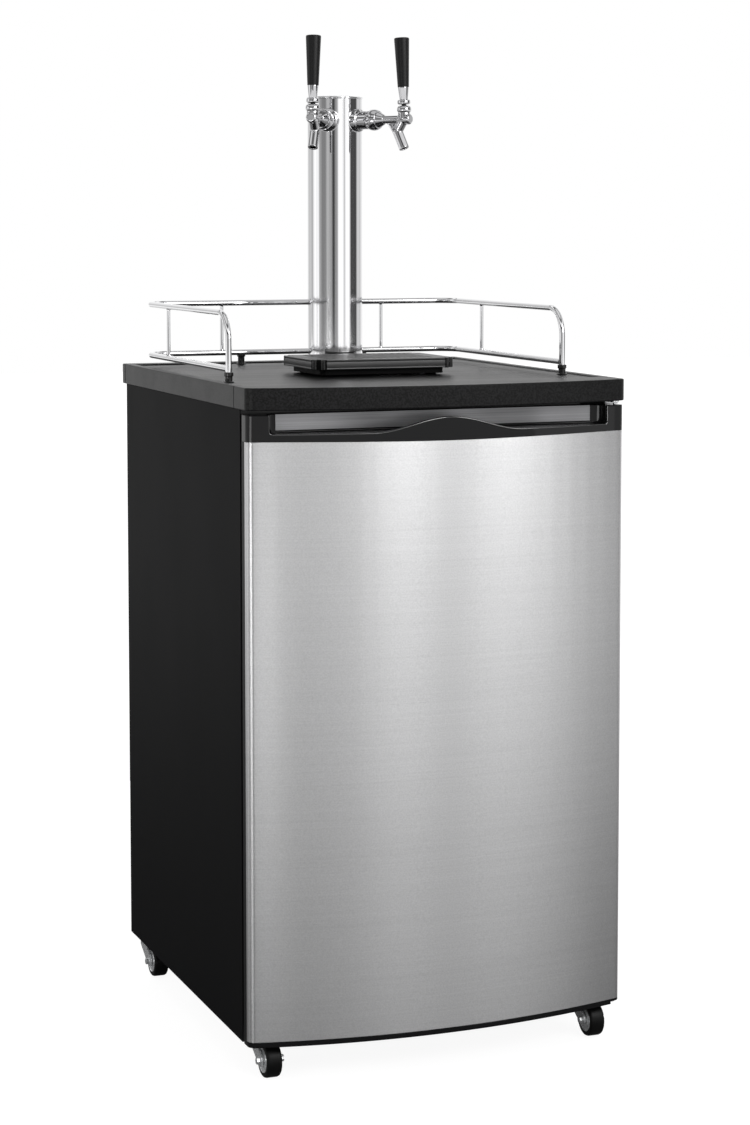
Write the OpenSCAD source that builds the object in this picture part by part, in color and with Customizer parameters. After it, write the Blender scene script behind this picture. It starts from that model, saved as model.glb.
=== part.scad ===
// Two-tap cold brew kegerator: an insulated keg cabinet on casters with a bowed stainless door,
// a guard-railed worktop, a drip tray and a polished tower that carries two faucets.
// Millimetres, +Z up, front towards -Y, origin on the floor under the middle of the cabinet.

/* [Overall] */
// Width of the worktop
body_w = 515; // [480:1:560]
// Depth of the worktop from the line through its front corners to its rear edge
worktop_d = 568; // [540:1:620]
// How far the middle of the front bows out past its corners
front_bow = 34; // [20:1:45]
// Height of the cabinet's lower edge above the floor
ground_clearance = 45; // [45:1:60]
// Height of the cabinet from its lower edge to the worktop
cabinet_h = 795; // [740:1:860]

/* [Worktop] */
// Height of the worktop's skirt
worktop_t = 28; // [22:1:40]
// Overhang of the worktop past each cabinet side
side_overhang = 1.5; // [0.5:0.5:4]
// Depth of the recessed deck below the rim
deck_recess = 2; // [1:0.5:4]
// Width of the raised rim along the sides and back
rim_w = 12; // [8:1:13]
// Depth of the front trim's sides behind the corner line
front_trim_d = 50; // [40:1:70]
// Depth of the rear trim strip
rear_trim_d = 15; // [12:1:15]
// Thickness of the moulded deck and skirt
moulding_t = 5; // [3:0.5:8]
// Radius of the worktop's front corners
worktop_corner_r = 12; // [6:1:18]

/* [Cabinet] */
// Front plane of the cabinet behind the corner line
cabinet_front = 30; // [29:1:34]
// Overhang of the worktop past the cabinet's back
rear_overhang = 16; // [15:1:30]
// Thickness of the steel sheet
sheet_t = 1; // [0.8:0.1:1.5]
// Thickness of the plastic liner
liner_t = 2; // [1.5:0.5:3]
// Insulated wall at each side, from the outside to the keg space
side_wall_t = 40; // [32:1:48]
// Insulated wall at the back
back_wall_t = 45; // [38:1:55]
// Insulation under the keg floor
floor_t = 42; // [36:1:50]
// Insulated ceiling
ceiling_t = 42; // [38:1:50]
// Height of the base pan above the cabinet's lower edge
base_rise = 19; // [19:1:24]
// Thickness of the base pan
pan_t = 1.5; // [1:0.5:2.5]
// Depth of the machine bay under the keg space's step
bay_d = 175; // [150:1:190]
// Height of the step over the machine bay
step_h = 190; // [170:1:220]
// Insulation between the step and the machine bay
bay_wall_t = 30; // [24:1:36]

/* [Inside] */
// Thickness of the plate under the keg
keg_plate_t = 2; // [1.5:0.5:4]
// Margin round the plate under the keg
keg_plate_margin = 10; // [6:1:20]
// Gap between the evaporator plate and each side wall of the keg space
evaporator_side = 41; // [38:1:70]
// Height of the evaporator plate
evaporator_h = 300; // [200:10:340]
// Thickness of the evaporator plate
evaporator_t = 3; // [2:0.5:5]
// Stand-off of the evaporator plate from the rear wall
evaporator_gap = 11; // [8:1:20]
// Distance of the evaporator plate below the ceiling
evaporator_drop = 70; // [60:5:120]
// Width of the thermostat housing
thermostat_w = 92; // [70:1:110]
// Depth of the thermostat housing
thermostat_d = 80; // [60:1:100]
// Height of the thermostat housing
thermostat_h = 44; // [40:1:48]
// Gap between the thermostat housing and the keg space's left wall
thermostat_side = 25; // [10:1:60]
// Distance of the thermostat housing's front behind the corner line
thermostat_y = 300; // [240:5:310]
// Diameter of the thermostat knob
knob_d = 34; // [24:1:36]
// Depth of the thermostat knob
knob_l = 16; // [12:1:22]
// Diameter of the thermostat spindle
spindle_d = 6; // [5:0.5:8]
// Radius of the compressor shell
compressor_r = 62; // [50:1:70]
// Height of the compressor shell up to its dome
compressor_h = 92; // [70:1:110]
// Distance of the compressor from the cabinet's right side
compressor_side = 186; // [110:5:260]
// Width of the compressor's base plate
compressor_plate_w = 150; // [130:1:170]
// Depth of the compressor's base plate
compressor_plate_d = 130; // [120:1:150]
// Thickness of the compressor's base plate
compressor_plate_t = 3; // [2:0.5:4]
// Height of the compressor's rubber feet
compressor_foot_h = 10; // [6:1:14]

/* [Back] */
// Distance of the condenser from each cabinet side
condenser_side = 91; // [85:1:140]
// Distance of the condenser below the worktop
condenser_drop = 70; // [40:5:120]
// Diameter of the condenser tube
condenser_tube_d = 5; // [4:0.5:6]
// Rows of the condenser tube
condenser_rows = 12; // [6:2:14]
// Distance between the condenser's rows
condenser_pitch = 36; // [24:1:38]
// Diameter of the condenser's upright wires
condenser_wire_d = 1.6; // [1.2:0.2:2]
// Wires on the condenser
condenser_wires = 17; // [9:2:25]
// Radius of the gas line's bore
gas_bore_r = 8; // [5:0.5:10]
// Wall of the gas line's grommet
gas_grommet_wall = 3; // [2:0.5:4]
// Distance of the gas line from the keg space's left wall
gas_side = 21; // [18:1:26]
// Height of the gas line below the ceiling
gas_drop = 150; // [100:5:300]
// Radius of the power gland's bore
gland_bore_r = 4; // [3:0.5:4.5]
// Distance of the power gland from the cabinet's left side
gland_side = 106; // [60:1:180]

/* [Door] */
// Gap between each door edge and the worktop's side
door_inset = 1.5; // [1:0.5:4]
// How far the door sits behind the worktop's front
door_setback = 3; // [2:0.5:6]
// Rear plane of the door behind the corner line
door_back = 24; // [22:0.5:25]
// Gap between the door and the worktop
door_top_gap = 5.5; // [5:0.5:8]
// Height of the plastic cap along the top of the door
top_cap_h = 33; // [28:1:40]
// How far the cap's lower edge dips in the middle
cap_dip = 2.5; // [1:0.5:5]
// Height of the plastic trim along the bottom of the door
bottom_cap_h = 7; // [6:0.5:12]
// Thickness of the stainless skin
skin_t = 1; // [0.8:0.1:1.5]
// Depth of the skin's folded sides
skin_return = 10; // [8:1:14]
// Radius of the door's front corners
door_corner_r = 10; // [6:1:12]
// Width of the gasket
gasket_w = 16; // [12:1:18]
// Distance of the gasket from the door's edge
gasket_inset = 12; // [10:1:16]
// Distance of the gasket from the top of the cabinet
gasket_top = 18; // [17:1:20]
// Distance of the gasket from the bottom of the cabinet
gasket_bottom = 32; // [30:1:40]

/* [Handle pocket] */
// Distance of the pocket's ends from the door's edges
pocket_end = 27; // [22:1:60]
// Depth of the pocket floor below the top of the door
pocket_h = 23.5; // [18:0.5:26]
// Rear wall of the pocket behind the corner line
pocket_back = 18; // [14:0.5:19]
// Radius of the pocket's rear corners
pocket_corner_r = 12; // [6:1:14]
// Radius between the pocket's floor and its side walls
pocket_floor_r = 4; // [2:0.5:6]
// Width of the hump in the front lip
hump_w = 205; // [140:1:260]
// Height of the hump above the pocket floor
hump_h = 18; // [12:0.5:20]
// Thickness of the hump
hump_t = 6; // [4:0.5:9]
// Thickness of the bright strip on the pocket's rear wall
insert_t = 1; // [0.8:0.1:1.5]
// Gap between the bright strip's ends and the pocket's corners
insert_end = 13; // [12:1:20]

/* [Hinge] */
// Diameter of the hinge pins
hinge_pin_d = 6; // [5:0.5:7]
// Distance of the hinge pins from the door's right edge
hinge_edge = 8; // [7:0.5:9]
// Distance of the hinge pins behind the corner line
hinge_y = 12; // [11:0.5:13]
// Thickness of the hinge plates
hinge_plate_t = 2.5; // [2:0.25:3]
// Engagement of the hinge pins
hinge_pin_l = 14; // [10:1:18]
// Width of the hinge plates' screwed flange
hinge_flange_w = 46; // [36:1:60]
// Thickness of the hinge plates' screwed flange
hinge_flange_t = 2; // [1.5:0.25:2.5]

/* [Tower] */
// Diameter of the tower column
tower_d = 76.2; // [70:0.1:90]
// Wall of the tower column
tower_wall = 1.5; // [1.2:0.1:3]
// Height of the column's top above the worktop's rim
tower_h = 371; // [330:1:420]
// Distance of the tower's axis from the worktop's rear edge
tower_rear = 180; // [170:1:190]
// Radius of the tower's base flange
flange_r = 55; // [52:1:55]
// Thickness of the tower's base flange
flange_t = 4; // [3:0.5:6]
// Thickness of the gasket under the tower
tower_gasket_t = 2; // [1:0.5:3]
// Radius of the circle of screws in the flange
flange_screw_pcr = 47; // [46:0.5:48]
// Diameter of the flange screws
flange_screw_d = 4.8; // [4:0.2:5.6]
// Length of the flange screws under the flange
flange_screw_l = 10; // [8:1:14]
// How far the cap stands out past the column
cap_lip = 1.2; // [0.5:0.1:2]
// Height of the cap's rim
cap_rim_h = 2.5; // [2:0.5:4]
// Height of the cap's dome above its rim
cap_dome_h = 4.5; // [3:0.5:8]
// Depth of the cap's plug in the column
cap_plug_h = 10; // [6:1:14]
// Radius of the hose passage under the tower
passage_r = 20; // [16:1:22]
// Wall of the hose passage's sleeve
passage_wall = 4; // [3:0.5:5]

/* [Faucets] */
// Angle of each faucet from straight ahead
faucet_angle = 35; // [33:1:45]
// Height of the faucets above the worktop's rim
faucet_z = 341; // [320:1:344]
// Distance of the lever's pivot from the tower's axis
lever_u = 115; // [112:1:122]
// Radius of the shank's thread
shank_r = 10; // [9.5:0.1:10.5]
// Radius of the drink's way through the shank
shank_bore_r = 4; // [3:0.5:5]
// Start of the shank inside the tower
shank_start = 22; // [22:0.5:24]
// End of the shank inside the coupling nut
shank_end = 62; // [60:0.5:63]
// Radius of the bezel against the tower
bezel_r = 16; // [14.5:0.5:17]
// End of the bezel's flare
bezel_end = 45; // [43:0.5:47]
// Radius of the shank's barrel outside the tower
barrel_r = 12.5; // [12:0.1:13]
// Start of the coupling nut
coupling_start = 58; // [56:0.5:59]
// Length of the coupling nut
coupling_l = 16; // [14:0.5:18]
// Radius of the coupling nut
coupling_r = 14.5; // [14:0.1:15.5]
// Notches in the coupling nut
coupling_notches = 6; // [4:1:8]
// Radius of the faucet's horizontal bar
bar_r = 5.4; // [5:0.1:6]
// Radius of the round front end
nose_r = 7.3; // [7:0.1:8]
// Length of the front end past the pivot
nose_l = 11; // [10:0.5:13]
// Radius of the spout
spout_r = 7; // [6.5:0.1:7.5]
// Radius of the spout's bore
spout_bore_r = 4.5; // [3.5:0.1:5]
// Drop of the spout's tip below the faucet's axis
spout_drop = 40; // [36:1:44]
// Angle of the spout below the level
spout_angle = 65; // [60:1:70]
// Thickness of the web between bar and spout
web_t = 4; // [3:0.5:5]
// Radius of the neck under the bonnet
neck_r = 8.2; // [8:0.1:8.6]
// Radius of the bonnet
bonnet_r = 9.75; // [9.25:0.05:10.25]
// Height of the bonnet's lower face above the faucet's axis
bonnet_z = 9.5; // [9:0.25:10]
// Height of the bonnet
bonnet_h = 8.5; // [8:0.25:8.5]
// Height of the lever's pivot above the faucet's axis
pivot_h = 13.5; // [13.25:0.25:14]
// Radius of the lever's ball
ball_r = 6.1; // [5.8:0.1:6.2]
// Backward lean of the closed lever
lever_lean = 2.5; // [0:0.5:3]
// Radius of the pin through the lever's ball
pivot_pin_r = 1.2; // [1:0.1:1.5]
// Radius of the lever's stem
stem_r = 3.2; // [2.8:0.1:3.4]
// Radius of the lever's collar
collar_r = 8.85; // [8:0.05:9]
// Height of the collar above the pivot
collar_z = 8.2; // [8.2:0.1:10]
// Height of the collar
collar_h = 4.5; // [3.5:0.5:6]
// Radius of the lever's tail ball
tail_r = 2.3; // [2.1:0.1:2.3]
// Radius of the plunger
plunger_r = 3.5; // [3.3:0.1:3.7]
// Length of the plunger's slot for the tail
plunger_slot = 5.7; // [5.6:0.1:6]
// Height of the ferrule
ferrule_h = 17; // [12:0.5:22]
// Radius of the ferrule's foot
ferrule_r = 5.5; // [5:0.1:6.5]
// Height of the tap handle
handle_h = 67; // [50:1:110]
// Radius of the tap handle at its foot
handle_r1 = 7.7; // [7:0.1:9]
// Radius of the tap handle at its top
handle_r2 = 10.35; // [8:0.05:13]

/* [Guard rail] */
// Diameter of the rails
rod_d = 8; // [6:0.5:10]
// Distance of the side rails from the worktop's sides
rail_side = 23.5; // [21:0.5:32]
// Front posts behind the corner line
rail_front = 143; // [120:1:180]
// Distance of the rear rail from the worktop's rear edge
rail_rear = 42; // [36:1:60]
// Height of the lower rail above the worktop's rim
rail_low = 15; // [13:0.5:25]
// Height of the upper rail above the worktop's rim
rail_high = 86; // [70:1:110]
// Radius of the front bends
rail_bend_r = 37; // [25:1:45]
// Radius of the rear corners
rail_corner_r = 30; // [20:1:45]
// Diameter of the struts
strut_d = 5; // [4:0.5:6]
// Distance of the side struts from the rear rail
strut_rear = 113; // [60:1:200]
// Distance of the rear struts from the side rails
strut_side = 112; // [60:1:170]
// Distance of the rear feet from the side rails
foot_side = 141; // [120:1:190]
// Radius of the rail feet's collar
foot_r = 6; // [5.5:0.1:7]

/* [Drip tray] */
// Width of the drip tray
tray_w = 200; // [150:1:240]
// Depth of the drip tray
tray_d = 140; // [110:1:141]
// Gap between the drip tray and the tower's flange
tray_gap = 3; // [2:0.5:20]
// Height of the tray's top above the worktop's rim
tray_top = 21; // [18:0.5:28]
// Height of the tray's outer band
tray_band_h = 13; // [10:0.5:14]
// Thickness of the tray's walls
tray_wall = 3; // [2:0.5:4]
// Inset of the tray's basin under the band
basin_inset = 12; // [8:1:20]
// Height of the tray's feet
tray_foot_h = 2; // [1:0.5:3]
// Size of the notch in each corner of the tray
tray_notch = 9; // [6:0.5:12]
// Thickness of the grille
grille_t = 3; // [2:0.5:4]
// Width of the grille's slots
grille_slot = 4.2; // [3:0.2:6]
// Distance between the grille's slots
grille_pitch = 9; // [7:0.5:14]

/* [Casters] */
// Diameter of the wheels
wheel_d = 44; // [36:1:44]
// Width of the wheels
wheel_w = 20; // [16:1:22]
// Trail of the wheels from the swivel
caster_trail = 30; // [24:1:32]
// Distance of the front swivels from the cabinet's sides
caster_front_side = 32.5; // [26:0.5:60]
// Distance of the rear swivels from the cabinet's sides
caster_rear_side = 18; // [17:0.5:60]
// Front swivels behind the corner line
caster_front_y = 50; // [48:1:70]
// Distance of the rear swivels from the cabinet's back
caster_rear_in = 47; // [30:1:70]
// Radius of the swivel head
swivel_r = 12; // [10:0.5:13]
// Radius of the swivel stem
stem_pin_r = 5; // [4:0.5:5.5]
// Length of the swivel stem above the base pan
stem_pin_l = 12; // [10:1:18]
// Thickness of the fork's legs
fork_t = 2.5; // [2:0.25:3]
// Radius of the axle
axle_r = 3; // [2.5:0.25:3.5]

/* [Clearances] */
// Gap between fixed pieces that fit together
fit_gap = 0.3; // [0.2:0.05:0.5]
// Radial gap of a pin or spindle that turns
run_gap = 0.05; // [0.03:0.01:0.1]
// Gap at a welded or threaded seat
seat_gap = 0.05; // [0.02:0.01:0.1]
// Gap between a wheel and its fork
side_gap = 1; // [0.5:0.1:1.5]

/* [Hidden] */
$fn = 96;

// Past a face that a cut goes through
cut = 1;
// Sides of the long shallow arcs
arc_fn = 720;

// Planes: y0 is the line through the worktop's front corners, and levels are above the floor
y0 = -(worktop_d - front_bow) / 2;
y_front = y0 + cabinet_front;
y_back = y0 + worktop_d - rear_overhang;
y_door_back = y0 + door_back;
z_base = ground_clearance;
z_top = z_base + cabinet_h;
z_work = z_top + worktop_t;
z_deck = z_work - deck_recess;
z_pan = z_base + base_rise;
z_pan_top = z_pan + pan_t;
half_w = body_w / 2;
cab_hw = half_w - side_overhang;
inner_hw = cab_hw - sheet_t;

// The bow of the worktop and door
bow_r = (half_w * half_w + front_bow * front_bow) / (2 * front_bow);
bow_cy = y0 - front_bow + bow_r;

// The keg space
cav_hw = cab_hw - side_wall_t;
z_floor = z_pan_top + floor_t;
z_ceil = z_top - ceiling_t;
z_step = z_floor + step_h;
y_cav_back = y_back - back_wall_t;
y_bay = y_back - bay_d;
y_step = y_bay - bay_wall_t - liner_t;
z_bay = z_step - liner_t - bay_wall_t;
evaporator_w = 2 * (cav_hw - evaporator_side);
thermostat_x = cav_hw - thermostat_side - thermostat_w / 2;
compressor_x = cab_hw - compressor_side;
condenser_hw = cab_hw - condenser_side;
gland_x = cab_hw - gland_side;

// The door
door_hw = half_w - door_inset;
z_door_top = z_top - door_top_gap;
z_cap = z_door_top - top_cap_h;
z_skin = z_base + bottom_cap_h;
z_pocket = z_door_top - pocket_h;
y_skin_back = y0 + door_setback + skin_return;
hinge_x = door_hw - hinge_edge;
pocket_w = 2 * (door_hw - pocket_end);

// The tower and the faucets
tower_cy = y0 + worktop_d - tower_rear;
tower_r = tower_d / 2;
z_column = z_deck + tower_gasket_t;
z_column_top = z_work + tower_h;
z_faucet = z_work + faucet_z;
passage_hole_r = passage_r + passage_wall + fit_gap;
sleeve_r = passage_r + passage_wall;
gas_x = cav_hw - gas_side;
gas_z = z_ceil - gas_drop;
gas_grommet_r = gas_bore_r + gas_grommet_wall;

// A bowed outline: straight sides and back, the shared arc in front, tangent rounded front corners
module bowed_outline(hw, arc_r, cy, y_rear, r) {
    fx = hw - r;
    fy = cy - sqrt(pow(arc_r - r, 2) - fx * fx);
    tangent_x = fx * arc_r / (arc_r - r);
    y_low = cy - arc_r - cut;
    intersection() {
        translate([0, cy]) circle(arc_r, $fn = arc_fn);
        translate([-tangent_x, y_low]) square([2 * tangent_x, y_rear - y_low]);
    }
    translate([-hw, fy]) square([2 * hw, y_rear - fy]);
    for (s = [-1, 1]) translate([s * fx, fy]) intersection() {
        circle(r);
        translate([-r, -r]) square([2 * r, r]);
    }
}

// The door's outline drawn in by an inset
module door_outline(inset, y_rear) {
    bowed_outline(door_hw - inset, bow_r - inset, bow_cy + door_setback, y_rear, door_corner_r - inset);
}

// A block between two corners
module block(low, high) {
    translate(low) cube(high - low);
}

// A plate with four rounded corners, lying flat
module round_plate(size, r, h) {
    linear_extrude(h) {
        translate([-size[0] / 2 + r, -size[1] / 2]) square([size[0] - 2 * r, size[1]]);
        translate([-size[0] / 2, -size[1] / 2 + r]) square([size[0], size[1] - 2 * r]);
        for (sx = [-1, 1], sy = [-1, 1])
            translate([sx * (size[0] / 2 - r), sy * (size[1] / 2 - r)]) circle(r);
    }
}

// A rod along +X, +Y or +Z from a point
module rod_x(p, l, r) { translate(p) rotate([0, 90, 0]) cylinder(h = l, r = r); }
module rod_y(p, l, r) { translate(p) rotate([-90, 0, 0]) cylinder(h = l, r = r); }
module rod_z(p, l, r) { translate(p) cylinder(h = l, r = r); }

// The hose passage from the keg space up through the worktop
module passage_bore() {
    rod_z([0, tower_cy, z_ceil - liner_t - cut], z_work - z_ceil + 2 * liner_t + cut, passage_hole_r);
}

// The gas line's way through the rear wall
module gas_bore() {
    rod_y([-gas_x, y_cav_back - liner_t - cut, gas_z], back_wall_t + 2 * liner_t + 2 * cut,
          gas_grommet_r + fit_gap);
}

// Folded steel sheet: two sides and the top
module cabinet_wrap() {
    color("#1c1c1e") difference() {
        block([-cab_hw, y_front, z_base], [cab_hw, y_back - sheet_t, z_top]);
        block([-inner_hw, y_front - cut, z_base - cut], [inner_hw, y_back + cut, z_top - sheet_t]);
        passage_bore();
    }
}

// Steel sheet behind the keg space, above the open machine bay
module back_panel() {
    color("#222225") difference() {
        block([-cab_hw, y_back - sheet_t, z_bay], [cab_hw, y_back, z_top]);
        gas_bore();
    }
}

// Where the casters' swivels stand
caster_front_x = cab_hw - caster_front_side;
caster_rear_x = cab_hw - caster_rear_side;
caster_spots = [
    [-caster_front_x, y0 + caster_front_y],
    [caster_front_x, y0 + caster_front_y],
    [-caster_rear_x, y_back - caster_rear_in],
    [caster_rear_x, y_back - caster_rear_in]
];
bush_r = stem_pin_r + 2;
bush_top = z_pan + stem_pin_l + 2;
socket_h = 4;
gland_flange_r = gland_bore_r + 4.5;
gland_body_r = gland_bore_r + 2.5;
gland_z = z_base + base_rise / 2;

// Pressed steel floor of the cabinet with a front and a rear lip
module base_pan() {
    color("#2a2a2c") difference() {
        union() {
            block([-inner_hw, y_front, z_pan], [inner_hw, y_back, z_pan_top]);
            block([-inner_hw, y_front, z_base], [inner_hw, y_front + pan_t, z_pan]);
            block([-inner_hw, y_back - pan_t, z_base], [inner_hw, y_back, z_pan]);
        }
        for (p = caster_spots)
            rod_z([p[0], p[1], z_pan - cut], pan_t + 2 * cut, bush_r + fit_gap);
        rod_y([-gland_x, y_back - pan_t - cut, gland_z], pan_t + 2 * cut, gland_body_r + fit_gap);
    }
}

// The keg space's outer shape, with the step over the machine bay
module liner_solid(t, y_mouth) {
    hw = cav_hw + t;
    block([-hw, y_mouth, z_floor - t], [hw, y_step + t, z_ceil + t]);
    block([-hw, y_step, z_step - t], [hw, y_cav_back + t, z_ceil + t]);
}

// Foamed insulation between the sheet and the liner
module cabinet_foam() {
    color("#e8dfb8") difference() {
        block([-inner_hw, y_front + liner_t, z_pan_top], [inner_hw, y_back - sheet_t, z_top - sheet_t]);
        liner_solid(liner_t, y_front - cut);
        block([-inner_hw - cut, y_bay, z_pan - cut], [inner_hw + cut, y_back + cut, z_bay]);
        passage_bore();
        gas_bore();
        for (p = caster_spots)
            rod_z([p[0], p[1], z_pan - cut], bush_top - z_pan + cut + fit_gap, bush_r + fit_gap);
    }
}

// Vacuum formed keg space with the flange that the door's gasket closes on
module inner_liner() {
    color("#e6e7e8") difference() {
        union() {
            liner_solid(liner_t, y_front);
            block([-inner_hw, y_front, z_pan_top], [inner_hw, y_front + liner_t, z_top - sheet_t]);
        }
        liner_solid(0, y_front - cut);
        passage_bore();
        gas_bore();
    }
}

// Steel plate that spreads the keg's weight over the liner's floor
module keg_floor_plate() {
    plate_y = (y_front + y_step) / 2;
    color("#b9bcc0") translate([0, plate_y, z_floor])
        round_plate([2 * (cav_hw - keg_plate_margin), y_step - y_front - 2 * keg_plate_margin],
                    keg_plate_margin, keg_plate_t);
}

// Roll-bonded cooling plate on four stand-offs from the rear wall
module evaporator_plate() {
    y_plate = y_cav_back - evaporator_gap;
    z_high = z_ceil - evaporator_drop;
    boss_r = 5;
    boss_in = 25;
    color("#c9ccd0") {
        block([-evaporator_w / 2, y_plate - evaporator_t, z_high - evaporator_h],
              [evaporator_w / 2, y_plate, z_high]);
        for (sx = [-1, 1], z = [z_high - boss_in, z_high - evaporator_h + boss_in])
            rod_y([sx * (evaporator_w / 2 - boss_in), y_plate - evaporator_t / 2, z],
                  evaporator_gap + evaporator_t / 2, boss_r);
    }
}

// The thermostat hangs from the ceiling with its knob towards the door
y_thermostat = y0 + thermostat_y;
thermostat_z = z_ceil - thermostat_h / 2;
spindle_l = 12;
module thermostat_housing() {
    color("#d4d5d6") difference() {
        block([-thermostat_x - thermostat_w / 2, y_thermostat, z_ceil - thermostat_h],
              [-thermostat_x + thermostat_w / 2, y_thermostat + thermostat_d, z_ceil]);
        rod_y([-thermostat_x, y_thermostat - cut, thermostat_z], spindle_l + 2 * cut, spindle_d / 2 + run_gap);
    }
}

// Ribbed temperature knob and its spindle
module thermostat_knob() {
    grips = 12;
    color("#3a3b3d") translate([-thermostat_x, y_thermostat - fit_gap, thermostat_z]) rotate([90, 0, 0]) {
        difference() {
            cylinder(h = knob_l, r = knob_d / 2);
            for (i = [0:grips - 1]) rotate([0, 0, i * 360 / grips])
                translate([knob_d / 2 + 1, 0, knob_l / 3]) cylinder(h = knob_l, r = 2.5);
        }
        translate([0, 0, -spindle_l]) cylinder(h = spindle_l + cut, r = spindle_d / 2);
    }
}

// Hermetic compressor on a base plate and rubber feet
compressor_y = (y_bay + y_back) / 2;
module compressor() {
    plate = [compressor_plate_w, compressor_plate_d];
    plate_t = compressor_plate_t;
    foot_in = 16;
    foot_r_mm = 9;
    dome_r = compressor_r * 1.35;
    z_plate = z_pan_top + compressor_foot_h;
    z_dome = z_plate + plate_t + compressor_h;
    color("#1a1a1a") translate([compressor_x, compressor_y, 0]) {
        for (sx = [-1, 1], sy = [-1, 1])
            rod_z([sx * (plate[0] / 2 - foot_in), sy * (plate[1] / 2 - foot_in), z_pan_top],
                  compressor_foot_h, foot_r_mm);
        translate([0, 0, z_plate]) round_plate(plate, foot_in, plate_t);
        rod_z([0, 0, z_plate + plate_t], compressor_h, compressor_r);
        intersection() {
            translate([0, 0, z_dome - sqrt(dome_r * dome_r - compressor_r * compressor_r)]) sphere(dome_r);
            rod_z([0, 0, z_dome], dome_r, compressor_r);
        }
    }
}

// Wire-on-tube condenser hung on the back panel, under the worktop's rear overhang
condenser_y = y_back + 5.5;
condenser_top = z_top - condenser_drop;
module condenser() {
    tube_r = condenser_tube_d / 2;
    bend_r = condenser_pitch / 2;
    run_l = 2 * (condenser_hw - bend_r);
    height = (condenser_rows - 1) * condenser_pitch;
    z_low = condenser_top - height;
    wire_y = condenser_y + tube_r + condenser_wire_d / 2 + seat_gap;
    wire_pitch = (run_l - 4 * tube_r) / (condenser_wires - 1);
    over = 8;
    color("#161616") {
        for (i = [0:condenser_rows - 1])
            rod_x([-run_l / 2, condenser_y, z_low + i * condenser_pitch], run_l, tube_r);
        for (i = [0:condenser_rows - 2])
            translate([(i % 2 == 0 ? 1 : -1) * run_l / 2, condenser_y, z_low + (i + 0.5) * condenser_pitch])
                rotate([90, 0, 0]) rotate([0, 0, i % 2 == 0 ? -90 : 90])
                    rotate_extrude(angle = 180) translate([bend_r, 0]) circle(tube_r);
        for (sx = [-1, 1], i = [1, condenser_rows - 2])
            rod_y([sx * (run_l / 2 - 6 * tube_r), y_back, z_low + i * condenser_pitch],
                  condenser_y - y_back, 2 * tube_r);
        for (i = [0:condenser_wires - 1])
            rod_z([-run_l / 2 + 2 * tube_r + i * wire_pitch, wire_y, z_low - over],
                  height + 2 * over, condenser_wire_d / 2);
    }
}

// The worktop's seams with its front and rear trims
y_seam = y0 + front_trim_d;
y_rear_seam = y0 + worktop_d - rear_trim_d;
tower_screw_spots = [for (i = [0:3]) [flange_screw_pcr * cos(45 + 90 * i),
                                      tower_cy + flange_screw_pcr * sin(45 + 90 * i)]];

// Moulded deck with a raised rim and a skirt, open underneath
module worktop() {
    color("#232325") difference() {
        block([-half_w, y_seam, z_top], [half_w, y_rear_seam, z_work]);
        block([-half_w + moulding_t, y_seam + moulding_t, z_top - cut],
              [half_w - moulding_t, y_rear_seam - moulding_t, z_deck - moulding_t]);
        block([-half_w + rim_w, y_seam - cut, z_deck], [half_w - rim_w, y_rear_seam - rim_w, z_work + cut]);
        passage_bore();
        for (p = tower_screw_spots)
            rod_z([p[0], p[1], z_deck - moulding_t - cut], moulding_t + 2 * cut, flange_screw_d / 2 + seat_gap);
    }
}

// Bowed nose of the worktop, wrapped round both front corners
module worktop_front_trim() {
    color("#1d1d1f") difference() {
        translate([0, 0, z_top]) linear_extrude(worktop_t)
            bowed_outline(half_w, bow_r, bow_cy, y_seam, worktop_corner_r);
        translate([0, 0, z_top - cut]) linear_extrude(worktop_t - deck_recess - moulding_t + cut)
            bowed_outline(half_w - moulding_t, bow_r - moulding_t, bow_cy, y_seam - moulding_t,
                          worktop_corner_r - moulding_t);
    }
}

// Strip that closes the worktop's rear edge and overhangs the cabinet's back
module worktop_rear_trim() {
    color("#1d1d1f") block([-half_w, y_rear_seam, z_top], [half_w, y0 + worktop_d, z_work]);
}

// Sleeve for the drink lines from the keg space into the tower
module line_grommet() {
    flange = 6;
    color("#101010") difference() {
        union() {
            rod_z([0, tower_cy, z_ceil - liner_t], z_deck - z_ceil + liner_t, sleeve_r);
            rod_z([0, tower_cy, z_ceil - liner_t], liner_t, sleeve_r + flange);
        }
        rod_z([0, tower_cy, z_ceil - liner_t - cut], z_deck - z_ceil + liner_t + 2 * cut, passage_r);
    }
}

// Rubber grommet for a gas line from a cylinder behind the cabinet
gas_lip = 4;
module gas_inlet_grommet() {
    flange = 5;
    start = y_cav_back - liner_t;
    color("#101010") difference() {
        union() {
            rod_y([-gas_x, start, gas_z], y_back + gas_lip - start, gas_grommet_r);
            rod_y([-gas_x, y_back, gas_z], gas_lip, gas_grommet_r + flange);
        }
        rod_y([-gas_x, start - cut, gas_z], y_back + gas_lip - start + 2 * cut, gas_bore_r);
    }
}

// Gland for the mains lead in the base pan's rear lip
gland_out = 6;
module power_inlet() {
    inside = 8;
    lip = 3;
    color("#101010") difference() {
        union() {
            rod_y([-gland_x, y_back - inside, gland_z], inside + gland_out, gland_body_r);
            rod_y([-gland_x, y_back, gland_z], lip, gland_flange_r);
        }
        rod_y([-gland_x, y_back - inside - cut, gland_z], inside + gland_out + 2 * cut, gland_bore_r);
    }
}

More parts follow.
